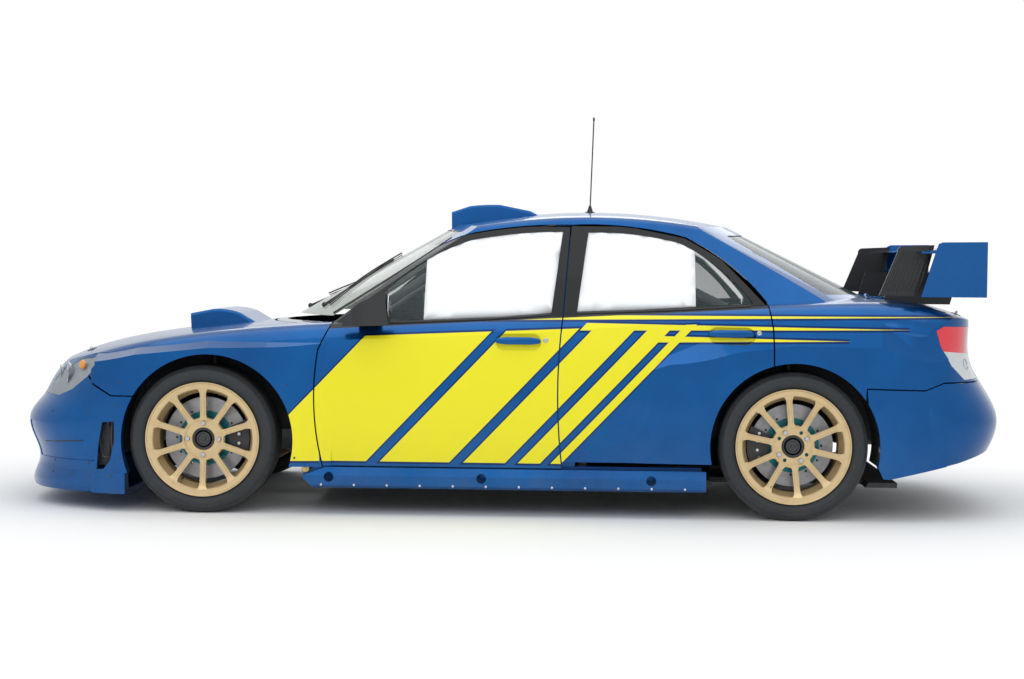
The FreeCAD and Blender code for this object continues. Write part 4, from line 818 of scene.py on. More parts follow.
# ---------------------------------------------------------------- wheels
def wheel_trim(end, side, s):
    """Hub cap and ring, wheel nuts, disc bobbins and valve of one wheel."""
    x, tag = AXLE_X[end], "%s_%s" % (end, side)
    body, way = "wheel_" + tag, (0, s, 0)

    def around(radius, angle, depth, up=1):
        """A place on a circle round the wheel's centre, at a depth out from it."""
        return (x + radius * math.cos(angle), WHEEL_Y * s + depth * s,
                WHEEL_Z + up * radius * math.sin(angle))

    def centre(depth):
        return around(0, 0, depth)

    dress(turned("hub_cap_" + tag,
                 [(0, 0.03), (0.006, 0.0325), (0.013, 0.0325), (0.016, 0.03), (0.016, 0.024),
                  (0.012, 0.022), (0.012, 0.01), (0.019, 0.008), (0.02, 0.004)], centre(0.0585), way, 40),
          black_gloss, body)
    dress(turned("hub_ring_" + tag,
                 [(0, 0.047), (0.012, 0.047), (0.014, 0.045), (0.014, 0.039), (0.011, 0.037),
                  (0.004, 0.036), (0.0, 0.036)], centre(0.0605), way, 48), dark_steel, body)
    turn = 0.0 if end == "front" else math.radians(30.2)
    small_parts("wheel_nuts_" + tag,
                [(0, 0.0085), (0.004, 0.0125), (0.007, 0.0125), (0.009, 0.0115), (0.018, 0.0112),
                 (0.02, 0.0095), (0.02, 0.006), (0.016, 0.0055)],
                [around(NUT_CIRCLE, math.tau * i / 4 + turn, 0.07, -1) for i in range(4)], way, 6,
                bright_steel, body)
    small_parts("disc_bobbins_" + tag,
                [(0, 0.0095), (0.003, 0.0095), (0.004, 0.008), (0.004, 0.005), (0.002, 0.0045)],
                [around(BOBBIN_CIRCLE, math.tau * i / 10 + 0.2, 0.0185) for i in range(10)], way, 16,
                teal_anodised, body)
    at = around(VALVE_CIRCLE, math.radians(-62), 0.062)
    dress(turned("valve_" + tag,
                 [(0, 0.0055), (0.004, 0.0055), (0.006, 0.004), (0.02, 0.0036), (0.021, 0.0045),
                  (0.031, 0.0045), (0.032, 0.0035)], at, way, 14), rubber, body)


def caliper_trim(end, side, s):
    """The bolts and the brake hose of one caliper, behind the spokes."""
    tag = "%s_%s" % (end, side)
    body, back = ("hub_front_" + side, -1) if end == "front" else ("body", 1)

    def place(out, inward, up):
        return (AXLE_X[end] + back * out, (WHEEL_Y - inward) * s, WHEEL_Z + up)

    seats = [place(CALIPER_BACK * math.cos(dz / CALIPER_BACK), -0.0355, dz)
             for dz in (-0.052, -0.02, 0.02, 0.052)]
    small_parts("caliper_bolts_" + tag,
                [(0, 0.0075), (0.006, 0.0075), (0.0075, 0.0062), (0.0075, 0.004), (0.004, 0.0035)], seats,
                (0, s, 0), 12, bright_steel, body)
    run = [place(CALIPER_BACK, 0.045, 0.06), place(CALIPER_BACK, 0.075, 0.085), place(0.12, 0.1, 0.12),
           place(0.06, 0.115, 0.14)]
    dress(hose("brake_hose_" + tag, run, 0.0035, 2), rubber, body)


for corner in CORNERS:
    wheel_trim(*corner)
for corner in CORNERS:
    caliper_trim(*corner)


# ---------------------------------------------------------------- doors
BELT = {"front": [(0.665, 0.818), (0.36, 0.834), (0.029, 0.849), (-0.19, 0.867)],
        "rear": [(-0.3, 0.875), (-0.573, 0.886), (-0.85, 0.901), (-1.05, 0.914)]}
GRIPS = {"front": (-0.053, 0.756), "rear": (-0.962, 0.796)}
BOARD_EDGE = {"front": (0.362, 1), "rear": (-0.815, -1)}  # where a board is cut, and the side cut off
BOARD_LIFT = 0.0016  # off the glass


def grip(end, side, s):
    """A pull handle bowed off the door's skin, and a key lock behind it."""
    x, z = GRIPS[end]
    body, node, tag = "%s_door_%s" % (end, side), "%s_door_%s" % (end, side), "%s_%s" % (end, side)
    nose, tail = x + 0.098, x - 0.098
    seat = [skin(node, px, z, s) for px in (nose, tail)]

    def on(u, v, depth):
        share = (u - tail) / (nose - tail)
        flat = seat[1].lerp(seat[0], share)
        return Vector((u, flat.y + (depth + 0.0035) * s + 0.01 * s * math.sin(math.pi * share), z + v))

    outline = [(nose, 0.004), (nose - 0.01, 0.014), (nose - 0.045, 0.019), (tail + 0.045, 0.019),
               (tail + 0.01, 0.014), (tail, 0.004), (tail + 0.004, -0.008), (tail + 0.045, -0.013),
               (nose - 0.045, -0.013), (nose - 0.004, -0.008)]
    dress(plate("door_grip_" + tag, outline, 0.014, on, 0.004, 3), car_plain, body)
    at = skin(node, tail - 0.02, z + 0.006, s)
    dress(turned("door_lock_" + tag, [(-0.002, 0.0105), (0.003, 0.0105), (0.0042, 0.009), (0.0042, 0.0065),
                                      (0.0026, 0.006)], at, (0, s, 0), 24), bright_steel, body)


def belt_strip(end, side, s):
    """The black wiper strip along the bottom of the side glass."""
    node, body, tag = "%s_door_%s" % (end, side), "%s_door_%s" % (end, side), "%s_%s" % (end, side)
    points = [skin(node, x, z, s, 0.001) for x, z in BELT[end]]
    dress(hose("belt_strip_" + tag, points, 0.0065, 2), black_trim, body)


def glass_board(end, side, s):
    """A plain white film over part of the side glass."""
    pane = copy_of(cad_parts["%s_glass_%s" % (end, side)], "side_board_%s_%s" % (end, side))
    tidy(pane, 60)
    edge, cut_off = BOARD_EDGE[end]
    with editing(pane):
        bpy.ops.mesh.bisect(plane_co=(edge, 0, 0), plane_no=(cut_off, 0, 0), use_fill=True, clear_outer=True)
    with editing(pane):
        bpy.ops.transform.translate(value=(0, BOARD_LIFT * s, 0))
    dress(pane, white_board, "%s_door_%s" % (end, side))


for end in ("front", "rear"):
    for side, s in SIDES:
        grip(end, side, s)
        belt_strip(end, side, s)
        glass_board(end, side, s)


@both_sides
def mirror_trim(side, s):
    """The reflecting plate in the back of a door mirror."""
    low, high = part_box("mirror_" + side)
    y_in, y_out = sorted((abs(low.y), abs(high.y)))
    y0, y1, z0, z1 = y_in + 0.075, y_out - 0.01, low.z + 0.045, high.z - 0.012
    outline = [(y0, z0), (y1 - 0.02, z0), (y1, z0 + 0.02), (y1, z1 - 0.02), (y1 - 0.03, z1), (y0 + 0.01, z1)]
    dress(plate("mirror_plate_" + side, outline, 0.003, lambda u, v, d: (low.x + 0.0015 - d, u * s, v),
                0.0008, 2), mirror_glass, "front_door_" + side)


# ---------------------------------------------------------------- lamps
@both_sides
def headlamp(side, s):
    """Two round reflectors with bulbs and an amber side lamp behind the lens."""
    for i, (x, y, z, radius) in enumerate(((1.925, 0.662, 0.585, 0.05), (1.985, 0.56, 0.572, 0.044))):
        at = Vector((x - 0.012, y * s, z))
        way = Vector((0.94, 0.3 * s, 0.05)).normalized()
        dress(turned("lamp_reflector_%d_%s" % (i, side),
                     [(0.03, radius), (0.034, radius + 0.003), (0.036, radius), (0.03, radius - 0.004),
                      (0.014, radius * 0.72), (0.004, radius * 0.42), (0.0, radius * 0.25)], at, way, 40),
              reflector, "body")
        dress(turned("lamp_bulb_%d_%s" % (i, side),
                     [(0.002, 0.007), (0.018, 0.007), (0.024, 0.0055), (0.026, 0.002)], at, way, 16),
              plate_white, "body")
    at = Vector((1.862, 0.728 * s, 0.628))
    dress(turned("side_lamp_" + side,
                 [(0, 0.02), (0.004, 0.02), (0.01, 0.016), (0.013, 0.008), (0.014, 0.003)], at,
                 (0.7, 0.7 * s, 0.1), 24), amber, "body")


@both_sides
def tail_trim(side, s):
    """A round reversing lamp set on the clear part of the tail lamp."""
    spot, normal = struck("tail_lamps", (-1.985, BESIDE * s, 0.672), (0, -s, 0))
    dress(turned("reversing_lamp_" + side,
                 [(-0.003, 0.026), (0.0015, 0.026), (0.003, 0.024), (0.003, 0.021), (0.0, 0.02),
                  (-0.001, 0.01)], spot, normal, 36), reflector, "body")


# ---------------------------------------------------------------- front end
def nose_mesh(name, ahead, half, low, high, bend=2.2):
    """Mesh behind an intake, on an upright wall that curves back to both sides as the nose does."""
    def place(u, v):
        y = u * 2 * half
        return (ahead - bend + math.sqrt(max(bend ** 2 - y * y, 0)), y, low + v * (high - low))
    mesh_panel(name, 24, place, "body")


nose_mesh("upper_mesh", 2.046, 0.3, 0.52, 0.585)
nose_mesh("lower_mesh", 2.128, 0.42, 0.235, 0.4)


def duct(side, s):
    """The black duct panel beside the front wheel: mesh in a kidney opening with a raised lip; the solid
    black panel behind the mesh is painted shade for the open intake.
    """
    ring = [(1.722, 0.236), (1.741, 0.224), (1.757, 0.24), (1.766, 0.29), (1.765, 0.345), (1.752, 0.392),
            (1.735, 0.408), (1.722, 0.395), (1.717, 0.32)]
    seat = {point: skin("front_bumper", point[0], point[1], s).y
            for point in ((1.8, 0.24), (1.8, 0.4), (1.69, 0.24), (1.69, 0.4))}
    y = min(abs(v) for v in seat.values()) - 0.01

    def spot(u, v, d):
        return (u, (y + d) * s, v)

    panel = [(1.7, 0.205), (1.7, 0.425), (1.712, 0.438), (1.772, 0.438), (1.786, 0.42), (1.782, 0.205),
             (1.77, 0.194), (1.712, 0.194)]
    # painted shade: the black panel behind the mesh stands for the dark inside of the intake
    dress(plate("duct_shade_panel_" + side, panel, 0.004, spot, 0.001, 2), black_trim, "body")
    dress(plate("duct_mesh_" + side, ring, 0.0012, lambda u, v, d: spot(u, v, d + 0.0045)), wire_grille,
          "body")
    dress(hose("duct_lip_" + side, [spot(u, v, 0.005) for u, v in ring] + [spot(*ring[0], 0.005)], 0.0028,
               2), black_gloss, "body")


def bumper_marks(side, s):
    """A black bar as painted shade for the air slot, and the panel fixings of a front corner."""
    # painted shade: a black bar on the skin stands for the shadowed air slot
    points = [skin("front_bumper", 1.84 + 0.05 * i, 0.302 - 0.004 * i, s, -0.001) for i in range(5)]
    dress(hose("painted_slot_shade_" + side, points, 0.0038, 2), black_trim, "body")
    spots = ((1.815, 0.425), (1.99, 0.425), (1.815, 0.205), (1.99, 0.205), (1.68, 0.46), (1.66, 0.23))
    fixings("bumper_fixings_" + side, "front_bumper", spots, 0.0008,
            [(0, 0.0058), (0.0014, 0.0052), (0.0022, 0.0035), (0.0018, 0.002)], 12, s, dark_steel)


def splitter_fixings():
    seats = [skin("front_splitter", x, 0.155, s, -0.0008) for s in (1, -1) for x in (1.7, 1.8, 1.9, 2.0)]
    heads = [turned("head", [(0, 0.006), (0.0014, 0.0055), (0.0024, 0.0035), (0.002, 0.002)], at,
                    (0, math.copysign(1, at.y), 0), 12) for at in seats]
    dress(joined("splitter_fixings", heads), dark_steel, "body")


for side, s in SIDES:
    bumper_marks(side, s)
    duct(side, s)
splitter_fixings()


def tow_loop(name, at, ahead):
    """A flat webbing loop for towing."""
    x, y, z = at
    bend = ((0, 0), (0.03, 0.004), (0.075, -0.004), (0.088, -0.028), (0.072, -0.05), (0.03, -0.044),
            (0, -0.04))
    run = [(x + out * ahead, y, z + up) for out, up in bend]
    strap = hose(name, run, 0.0032, 2)
    with editing(strap):
        bpy.ops.transform.resize(value=(1, 7.0, 1), center_override=(x, y, z))
    dress(strap, tow_strap, "body")


tow_loop("front_tow_loop", (2.112, -0.34, 0.215), 1)
tow_loop("rear_tow_loop", (-2.09, 0.36, 0.395), -1)


def lid_pins(spots, body, node):
    """Quick-release pins with their plates on a lid."""
    heads, plates = [], []
    for x, y in spots:
        spot, normal = struck(node, (x, y, ABOVE), (0, 0, -1))
        plates.append(turned("plate", [(-0.001, 0.022), (0.0012, 0.022), (0.002, 0.0205), (0.002, 0.008)],
                             spot, normal, 28))
        heads.append(turned("pin", [(0.001, 0.0055), (0.012, 0.0055), (0.014, 0.0042), (0.015, 0.002)],
                            spot, normal, 14))
        heads.append(turned("clip", [(0.005, 0.0075), (0.0065, 0.009), (0.008, 0.0075), (0.008, 0.004)],
                            spot, normal, 16))
    dress(joined(body + "_pin_plates", plates), black_trim, body)
    dress(joined(body + "_pins", heads), bright_steel, body)


lid_pins([(1.9, 0.42), (1.9, -0.42)], "bonnet", "bonnet")
lid_pins([(-1.99, 0.42), (-1.99, -0.42)], "boot", "boot_lid")


@both_sides
def fender_marks(side, s):
    """The small dark fixings on each front wing."""
    spots = ((1.665, 0.557), (0.94, 0.56), (0.905, 0.245))
    fixings("wing_fixings_" + side, "front_fender_" + side, spots, 0.0006,
            [(0, 0.005), (0.0012, 0.0046), (0.002, 0.003), (0.0016, 0.0018)], 12, s, dark_steel)


# ---------------------------------------------------------------- skirts
@both_sides
def skirt_trim(side, s):
    """Fixings along a skirt's foot and a brass stud at its nose."""
    fixings("skirt_fixings_" + side, "side_skirts", [(0.79 - 0.142 * i, 0.131) for i in range(12)], 0.0005,
            [(0, 0.0055), (0.0014, 0.005), (0.0022, 0.0032), (0.0018, 0.002)], 10, s, bright_steel)
    dress(turned("skirt_stud_" + side,
                 [(-0.004, 0.017), (0.004, 0.017), (0.007, 0.015), (0.007, 0.009), (0.011, 0.008),
                  (0.012, 0.006), (0.012, 0.003)], (0.862, 0.842 * s, 0.196), (0, s, 0), 28), brass, "body")


# ---------------------------------------------------------------- wing, scoops, wipers, aerial
@both_sides
def wing_skin(side, s):
    """Black ribs on each vane's outer side, like a louvre."""
    ribs = []
    for i in range(9):
        foot, head = (-1.634 - 0.0185 * i, 0.985), (-1.706 - 0.0165 * i, 1.166)
        outline = [(foot[0], foot[1]), (head[0], head[1]), (head[0] - 0.004, head[1]),
                   (foot[0] - 0.004, foot[1])]
        ribs.append(plate("rib", outline, 0.006, lambda u, v, d: (u, (0.6442 + d) * s, v), 0.001, 1))
    dress(joined("vane_ribs_" + side, ribs), black_gloss, "boot")


def scoop_mesh(name, x, half, low, high, body):
    """Mesh set back in a scoop's mouth."""
    mesh_panel(name, 12, lambda u, v: (x, u * 2 * half, low + v * (high - low)), body)


scoop_mesh("roof_scoop_mesh", 0.235, 0.236, 1.275, 1.318, "body")
scoop_mesh("bonnet_scoop_mesh", 1.452, 0.226, 0.795, 0.829, "bonnet")


def wiper_blade(name, spots):
    """A blade over (x, y) spots along the windscreen: a rubber lip under a thin spine."""
    points = [top_skin("windscreen", x, y, 0.006) for x, y in spots]
    lip = hose(name + "_lip", [point + Vector((0.001, 0, -0.0015)) for point in points], 0.0022, 2)
    spine = hose(name + "_spine", [point + Vector((0.004, 0, 0.007)) for point in points], 0.0035, 2)
    dress(lip, rubber, "body")
    dress(spine, black_trim, "body")


wiper_blade("left_blade", [(0.8, 0.5), (0.72, 0.36), (0.62, 0.2), (0.52, 0.06)])
wiper_blade("right_blade", [(0.86, 0.06), (0.78, -0.1), (0.68, -0.28), (0.58, -0.42)])


def aerial_trim():
    seat = top_skin("roof", -0.353, 0.03, 0.0)
    dress(turned("aerial_seat", [(-0.002, 0.024), (0.003, 0.024), (0.006, 0.021), (0.0065, 0.017)],
                 (-0.353, 0, seat.z - 0.001), (0, 0, 1), 32), rubber, "body")
    dress(turned("aerial_tip", [(0, 0.0036), (0.006, 0.0046), (0.014, 0.0046), (0.018, 0.003)],
                 (-0.3666, 0, 1.758), (0, 0, 1), 12), rubber, "body")


aerial_trim()


def header_band(node, name, low_z, material):
    """A dark band along the top of a screen, cut from the glass itself."""
    band = copy_of(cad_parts[node], name)
    tidy(band, 60)
    with editing(band):
        bpy.ops.mesh.bisect(plane_co=(0, 0, low_z), plane_no=(0, 0, 1), use_fill=True, clear_inner=True)
        bpy.ops.mesh.select_all(action="SELECT")
        bpy.ops.transform.translate(value=(0, 0, -0.0055))
    dress(band, material, "body")


header_band("windscreen", "screen_band", 1.175, black_trim)
header_band("rear_window", "rear_band", 1.19, black_trim)


for side, s in SIDES:
    seal = [end_skin("windscreen", y * s, z, 1, 0.001)
            for y, z in ((0.632, 0.862), (0.6, 0.96), (0.564, 1.05), (0.524, 1.13), (0.476, 1.2))]
    dress(hose("screen_seal_" + side, seal, 0.005, 2), rubber, "body")


# ---------------------------------------------------------------- cabin
SEAT_Y = 0.365  # a seat's middle from the car's


def seat_pads(side, s):
    """Cushion and back pads sewn in channels, in one bucket seat."""
    y = SEAT_Y * s
    rows = []
    for x0, x1, top in ((0.06, 0.15, 0.318), (0.154, 0.244, 0.322), (0.248, 0.345, 0.33)):
        rows.append(block("pad", (x0, y - 0.168, 0.302), (x1, y + 0.168, top), 0.011, 4))
    cushion = joined("seat_cushion_" + side, rows)
    dress(cushion, seat_cloth, "body")
    rows = []
    slope, foot = 0.283, 0.026  # how the back leans and where it starts
    for i in range(5):
        low, high = 0.345 + 0.105 * i, 0.345 + 0.105 * i + 0.101
        pad = block("pad", (-0.012, -0.16, low), (0.018, 0.16, high), 0.011, 4)
        with editing(pad):
            bpy.ops.transform.translate(value=(foot - slope * ((low + high) / 2 - 0.3), y, 0))
        for point in pad.data.vertices:
            point.co.x -= slope * (point.co.z - (low + high) / 2)
        rows.append(pad)
    back = joined("seat_back_" + side, rows)
    dress(back, seat_cloth, "body")


def harness(side, s):
    """Shoulder and lap belts with a round buckle."""
    y = SEAT_Y * s
    belts = []
    for dy in (-0.07, 0.07):
        run = [(-0.3, y + dy * 0.5, 0.842), (-0.165, y + dy * 0.8, 0.842), (-0.095, y + dy, 0.8),
               (-0.03, y + dy, 0.7), (0.02, y + dy, 0.56), (0.07, y + dy * 0.8, 0.43),
               (0.115, y + dy * 0.3, 0.372)]
        belt = hose("belt", run, 0.0032, 1)
        with editing(belt):
            bpy.ops.transform.resize(value=(1, 7.5, 1), center_override=(0, y + dy * 0.85, 0))
        belts.append(belt)
    for d in (-1, 1):
        run = [(0.03, y + 0.172 * d, 0.345), (0.07, y + 0.12 * d, 0.362), (0.112, y + 0.05 * d, 0.368),
               (0.118, y, 0.368)]
        belts.append(hose("belt", run, 0.007, 1))
    dress(joined("harness_" + side, belts), belt_web, "body")
    dress(turned("harness_buckle_" + side,
                 [(0, 0.03), (0.006, 0.034), (0.016, 0.034), (0.02, 0.03), (0.02, 0.012), (0.024, 0.01),
                  (0.024, 0.004)], (0.108, y, 0.372), (0.75, 0, 0.66), 32), red_paint, "body")


for side, s in SIDES:
    seat_pads(side, s)
    harness(side, s)


def controls():
    """Gear lever, handbrake, pedals, foot plates, gauges, display, trip computer, switches and vents."""
    dress(hose("gear_lever",
               [(0.3, 0.02, 0.425), (0.285, 0.03, 0.52), (0.262, 0.07, 0.61), (0.25, 0.1, 0.66)], 0.009, 3),
          bright_steel, "body")
    dress(turned("gear_knob",
                 [(0, 0.012), (0.01, 0.02), (0.026, 0.024), (0.042, 0.021), (0.05, 0.012), (0.052, 0.004)],
                 (0.251, 0.097, 0.652), (-0.25, 0.5, 0.83), 28), black_gloss, "body")
    dress(hose("handbrake", [(0.19, -0.02, 0.405), (0.175, -0.02, 0.52), (0.17, -0.02, 0.64)], 0.011, 3),
          dark_steel, "body")
    dress(turned("handbrake_grip",
                 [(0, 0.012), (0.004, 0.015), (0.09, 0.0155), (0.1, 0.013), (0.102, 0.005)],
                 (0.17, -0.02, 0.59), (-0.04, 0, 1), 24), rubber, "body")
    arm = hose("arm", [(0.735, SEAT_Y, 0.52), (0.705, SEAT_Y, 0.42), (0.69, SEAT_Y, 0.33)], 0.007, 2)
    pad = block("pad", (0.676, SEAT_Y - 0.03, 0.285), (0.688, SEAT_Y + 0.03, 0.36), 0.003, 2)
    rib = block("rib", (0.6735, SEAT_Y - 0.024, 0.297), (0.677, SEAT_Y + 0.024, 0.303), 0.001, 1)
    pedal = joined("pedal", [arm, pad] + row_of(rib, [(0, 0, 0.022), (0, 0, 0.044)]))
    pedals = row_of(pedal, [(0, -0.095, 0), (0, 0.095, 0)])
    dress(joined("pedals", pedals), cast_alloy, "body")
    rest = plate("rest", [(0.52, 0.154), (0.56, 0.154), (0.8, 0.33), (0.8, 0.345)], 0.3,
                 lambda u, v, d: (u, d - 0.15 - SEAT_Y, v), 0.003, 2)
    dress(joined("foot_plates", row_of(rest, [(0, 2 * SEAT_Y, 0)])), cast_alloy, "body")
    for i, (y, z, r) in enumerate(((0.36, 0.742, 0.052), (0.27, 0.73, 0.03), (0.45, 0.73, 0.03))):
        dress(turned("gauge_%d" % i,
                     [(0, r + 0.006), (0.012, r + 0.006), (0.015, r + 0.003), (0.015, r),
                      (0.006, r - 0.002), (0.005, r * 0.5), (0.007, 0.004)], (0.545, y, z), (-1, 0, 0.15),
                     40), black_gloss, "body")
    dress(block("centre_display", (0.512, -0.075, 0.69), (0.54, 0.075, 0.78), 0.004, 3), black_gloss,
          "body")
    dress(block("trip_computer", (0.522, -0.42, 0.7), (0.565, -0.27, 0.79), 0.005, 3), dark_steel, "body")
    seats = []
    for row in range(2):
        for column in range(6):
            y, z = -0.055 + 0.022 * column, 0.64 - 0.03 * row
            seats.append((0.557 + 0.19 * (0.64 - z), y, z))
    small_parts("dash_switches",
                [(0, 0.0075), (0.006, 0.0075), (0.008, 0.006), (0.008, 0.004), (0.018, 0.003),
                 (0.02, 0.002)], seats, (-1, 0, 0), 12, bright_steel, "body")
    small_parts("dash_vents",
                [(0, 0.034), (0.01, 0.036), (0.014, 0.034), (0.014, 0.029), (0.006, 0.028), (0.006, 0.01),
                 (0.012, 0.008)], [(0.528, y, 0.735) for y in (-0.52, 0.52)], (-1, 0, 0.2), 32, black_trim,
                "body")


controls()


def wheel_rim_grip():
    """Hub pad and two buttons of the steering wheel."""
    tilt, reach = math.radians(24), 0.058
    axis = Vector((-math.cos(tilt), 0, math.sin(tilt)))
    centre = Vector((0.3, 0.36, 0.745))
    dress(turned("wheel_hub_pad",
                 [(0.018, 0.036), (0.026, 0.036), (0.032, 0.031), (0.032, 0.024), (0.036, 0.022),
                  (0.036, 0.01)], centre, axis, 36), black_gloss, "steering_wheel")
    side_way = Vector((0, 1, 0))
    up = axis.cross(side_way).normalized() * -1
    seats = []
    for angle in (20, 160):
        a = math.radians(angle)
        seats.append(centre + side_way * reach * math.cos(a) + up * reach * math.sin(a) + axis * 0.004)
    small_parts("wheel_keys", [(0, 0.008), (0.006, 0.008), (0.008, 0.0065), (0.008, 0.003)], seats, axis,
                16, red_paint, "steering_wheel")


wheel_rim_grip()


def extinguisher():
    """A fire bottle with two bands and a foot, behind the seats."""
    dress(turned("fire_bottle",
                 [(0, 0.03), (0.01, 0.055), (0.03, 0.062), (0.28, 0.062), (0.305, 0.05), (0.318, 0.02),
                  (0.345, 0.018), (0.348, 0.012)], (-0.72, -0.2, 0.235), (0, 1, 0), 40), red_paint, "body")
    band = turned("band", [(0, 0.0635), (0.016, 0.0635), (0.016, 0.065), (0, 0.065), (0, 0.0635)],
                  (-0.72, -0.13, 0.235), (0, 1, 0), 40, True)
    bands = row_of(band, [(0, 0.16, 0)])
    feet = block("foot", (-0.775, -0.15, 0.152), (-0.665, 0.07, 0.176), 0.003, 2)
    dress(joined("fire_bottle_bands", bands + [feet]), bright_steel, "body")


extinguisher()


# ---------------------------------------------------------------- under the bonnet
def engine_parts():
    """Covers, intake, intercooler, radiator, fans, tank, hoses and strut brace round the plain block."""
    for side, s in SIDES:
        dress(block("cam_cover_" + side, (1.3, 0.322 * s if s > 0 else -0.348, 0.33),
                    (1.64, 0.348 if s > 0 else -0.322, 0.5), 0.008, 3), cast_alloy, "body")
    dress(block("intake_box", (1.48, -0.12, 0.562), (1.66, 0.12, 0.64), 0.014, 3), cast_alloy, "body")
    runners = []
    for s in (1, -1):
        runner = hose("runner", [(1.51, 0.11 * s, 0.61), (1.51, 0.19 * s, 0.618), (1.51, 0.25 * s, 0.59),
                                 (1.51, 0.262 * s, 0.545)], 0.022, 4)
        runners += row_of(runner, [(0.11, 0, 0)])
    dress(joined("intake_runners", runners), cast_alloy, "body")
    dress(block("intercooler", (1.262, -0.21, 0.642), (1.44, 0.21, 0.7), 0.004, 2), cast_alloy, "body")
    fin = block("fin", (1.27, -0.19, 0.7), (1.432, -0.186, 0.706), 0.0008, 1)
    fins = row_of(fin, [(0, 0.02 * i, 0) for i in range(1, 20)])
    dress(joined("intercooler_fins", fins), bright_steel, "body")
    leg = block("leg", (1.28, -0.18, 0.56), (1.3, -0.162, 0.644), 0.002, 1)
    legs = row_of(leg, [(0, 0.34, 0), (0.13, 0, 0), (0.13, 0.34, 0)])
    dress(joined("intercooler_legs", legs), dark_steel, "body")
    dress(hose("boost_pipe",
               [(1.35, 0.205, 0.672), (1.35, 0.3, 0.672), (1.43, 0.34, 0.64), (1.52, 0.33, 0.59),
                (1.56, 0.3, 0.53)], 0.026, 5), rubber, "body")
    dress(block("radiator", (1.806, -0.33, 0.345), (1.85, 0.33, 0.585), 0.006, 3), black_trim, "body")
    first = block("row", (1.849, -0.315, 0.358), (1.8535, 0.315, 0.3625), 0.0006, 1)
    rows = row_of(first, [(0, 0, 0.0105 * i) for i in range(1, 21)])
    dress(joined("radiator_rows", rows), cast_alloy, "body")
    for i, y in enumerate((-0.165, 0.165)):
        dress(turned("fan_shroud_%d" % i,
                     [(0, 0.14), (0.022, 0.14), (0.024, 0.138), (0.024, 0.132), (0.006, 0.13),
                      (0.0, 0.132)], (1.803, y, 0.465), (-1, 0, 0), 40, True), black_trim, "body")
        blades = [turned("hub", [(0, 0.034), (0.016, 0.034), (0.02, 0.03), (0.02, 0.008)], (1.8, y, 0.465),
                         (-1, 0, 0), 24)]
        for j in range(7):
            a = math.tau * j / 7
            u, v = Vector((0, math.cos(a), math.sin(a))), Vector((0, -math.sin(a), math.cos(a)))
            c = Vector((1.792, y, 0.465))
            blades.append(plate("blade", [(0.03, -0.01), (0.126, -0.03), (0.126, 0.022), (0.03, 0.014)],
                                0.0022, lambda p, q, d: c + u * p + v * q + Vector((d + q * 0.35, 0, 0)),
                                0.0006, 1))
        dress(joined("fan_%d" % i, blades), black_trim, "body")
    dress(hose("top_hose",
               [(1.806, 0.27, 0.56), (1.77, 0.27, 0.59), (1.73, 0.23, 0.59), (1.7, 0.19, 0.555)], 0.019, 4),
          rubber, "body")
    dress(hose("low_hose", [(1.806, -0.27, 0.375), (1.78, -0.27, 0.36), (1.75, -0.26, 0.38),
                            (1.722, -0.24, 0.4)], 0.019, 4), rubber, "body")
    dress(turned("header_tank",
                 [(0, 0.03), (0.01, 0.048), (0.12, 0.048), (0.132, 0.034), (0.14, 0.018), (0.16, 0.018),
                  (0.162, 0.024), (0.172, 0.024), (0.174, 0.01)], (1.12, -0.3, 0.47), (0, 0, 1), 36),
          cast_alloy, "body")
    dress(block("tank_stand", (0.888, -0.345, 0.44), (1.168, -0.255, 0.47), 0.003, 2), dark_steel, "body")
    dress(hose("strut_brace",
               [(1.3, 0.54, 0.724), (1.29, 0.42, 0.745), (1.21, 0.2, 0.752), (1.19, 0, 0.752),
                (1.21, -0.2, 0.752), (1.29, -0.42, 0.745), (1.3, -0.54, 0.724)], 0.012, 4), cast_alloy,
          "body")
    for side, s in SIDES:
        dress(turned("strut_top_" + side,
                     [(-0.01, 0.062), (0.002, 0.062), (0.006, 0.058), (0.008, 0.03), (0.018, 0.022),
                      (0.02, 0.01)], (1.3075, 0.56 * s, 0.727), (0, 0, 1), 36), dark_steel, "body")


engine_parts()


# ---------------------------------------------------------------- underneath
def under_parts():
    """Guard plate, propshaft, gearbox, exhaust run with its hangers and brake lines below the floor."""
    dress(plate("sump_guard", [(1.86, -0.33), (1.86, 0.33), (1.18, 0.345), (1.18, -0.345)], 0.006,
                lambda u, v, d: (u, v, 0.196 - d + (0.055 if u > 1.7 else 0.0)), 0.002, 2), cast_alloy,
          "body")
    dress(hose("propshaft", [(0.7, 0, 0.222), (0.0, 0, 0.225), (-0.7, 0, 0.232), (-1.13, 0, 0.24)], 0.03,
               6), dark_steel, "body")
    dress(turned("gearbox",
                 [(0, 0.15), (0.1, 0.15), (0.16, 0.105), (0.38, 0.09), (0.44, 0.06), (0.56, 0.045),
                  (0.565, 0.02)], (1.246, 0, 0.33), (-1, 0, -0.16), 40), cast_alloy, "body")
    dress(hose("exhaust_run",
               [(1.0, -0.18, 0.225), (0.86, -0.2, 0.18), (0.6, -0.2, 0.112), (-0.6, -0.2, 0.112),
                (-0.95, -0.24, 0.112), (-1.1, -0.33, 0.15), (-1.28, -0.395, 0.2), (-1.5, -0.4, 0.262),
                (-1.7, -0.4, 0.272)], 0.03, 6), heat_steel, "body")
    lines = row_of(hose("line",
                        [(0.86, 0.3, 0.122), (0.2, 0.3, 0.122), (-0.7, 0.3, 0.122), (-0.84, 0.33, 0.122)],
                        0.0035, 2), [(0, 0.014, 0), (0, 0.028, 0)])
    dress(joined("brake_lines", lines), bright_steel, "body")
    for i, (x, y) in enumerate(((0.55, -0.2), (-0.45, -0.2))):
        dress(block("pipe_hanger_%d" % i, (x - 0.01, y - 0.008, 0.112), (x + 0.01, y + 0.008, 0.131), 0.002,
                    1), dark_steel, "body")


under_parts()


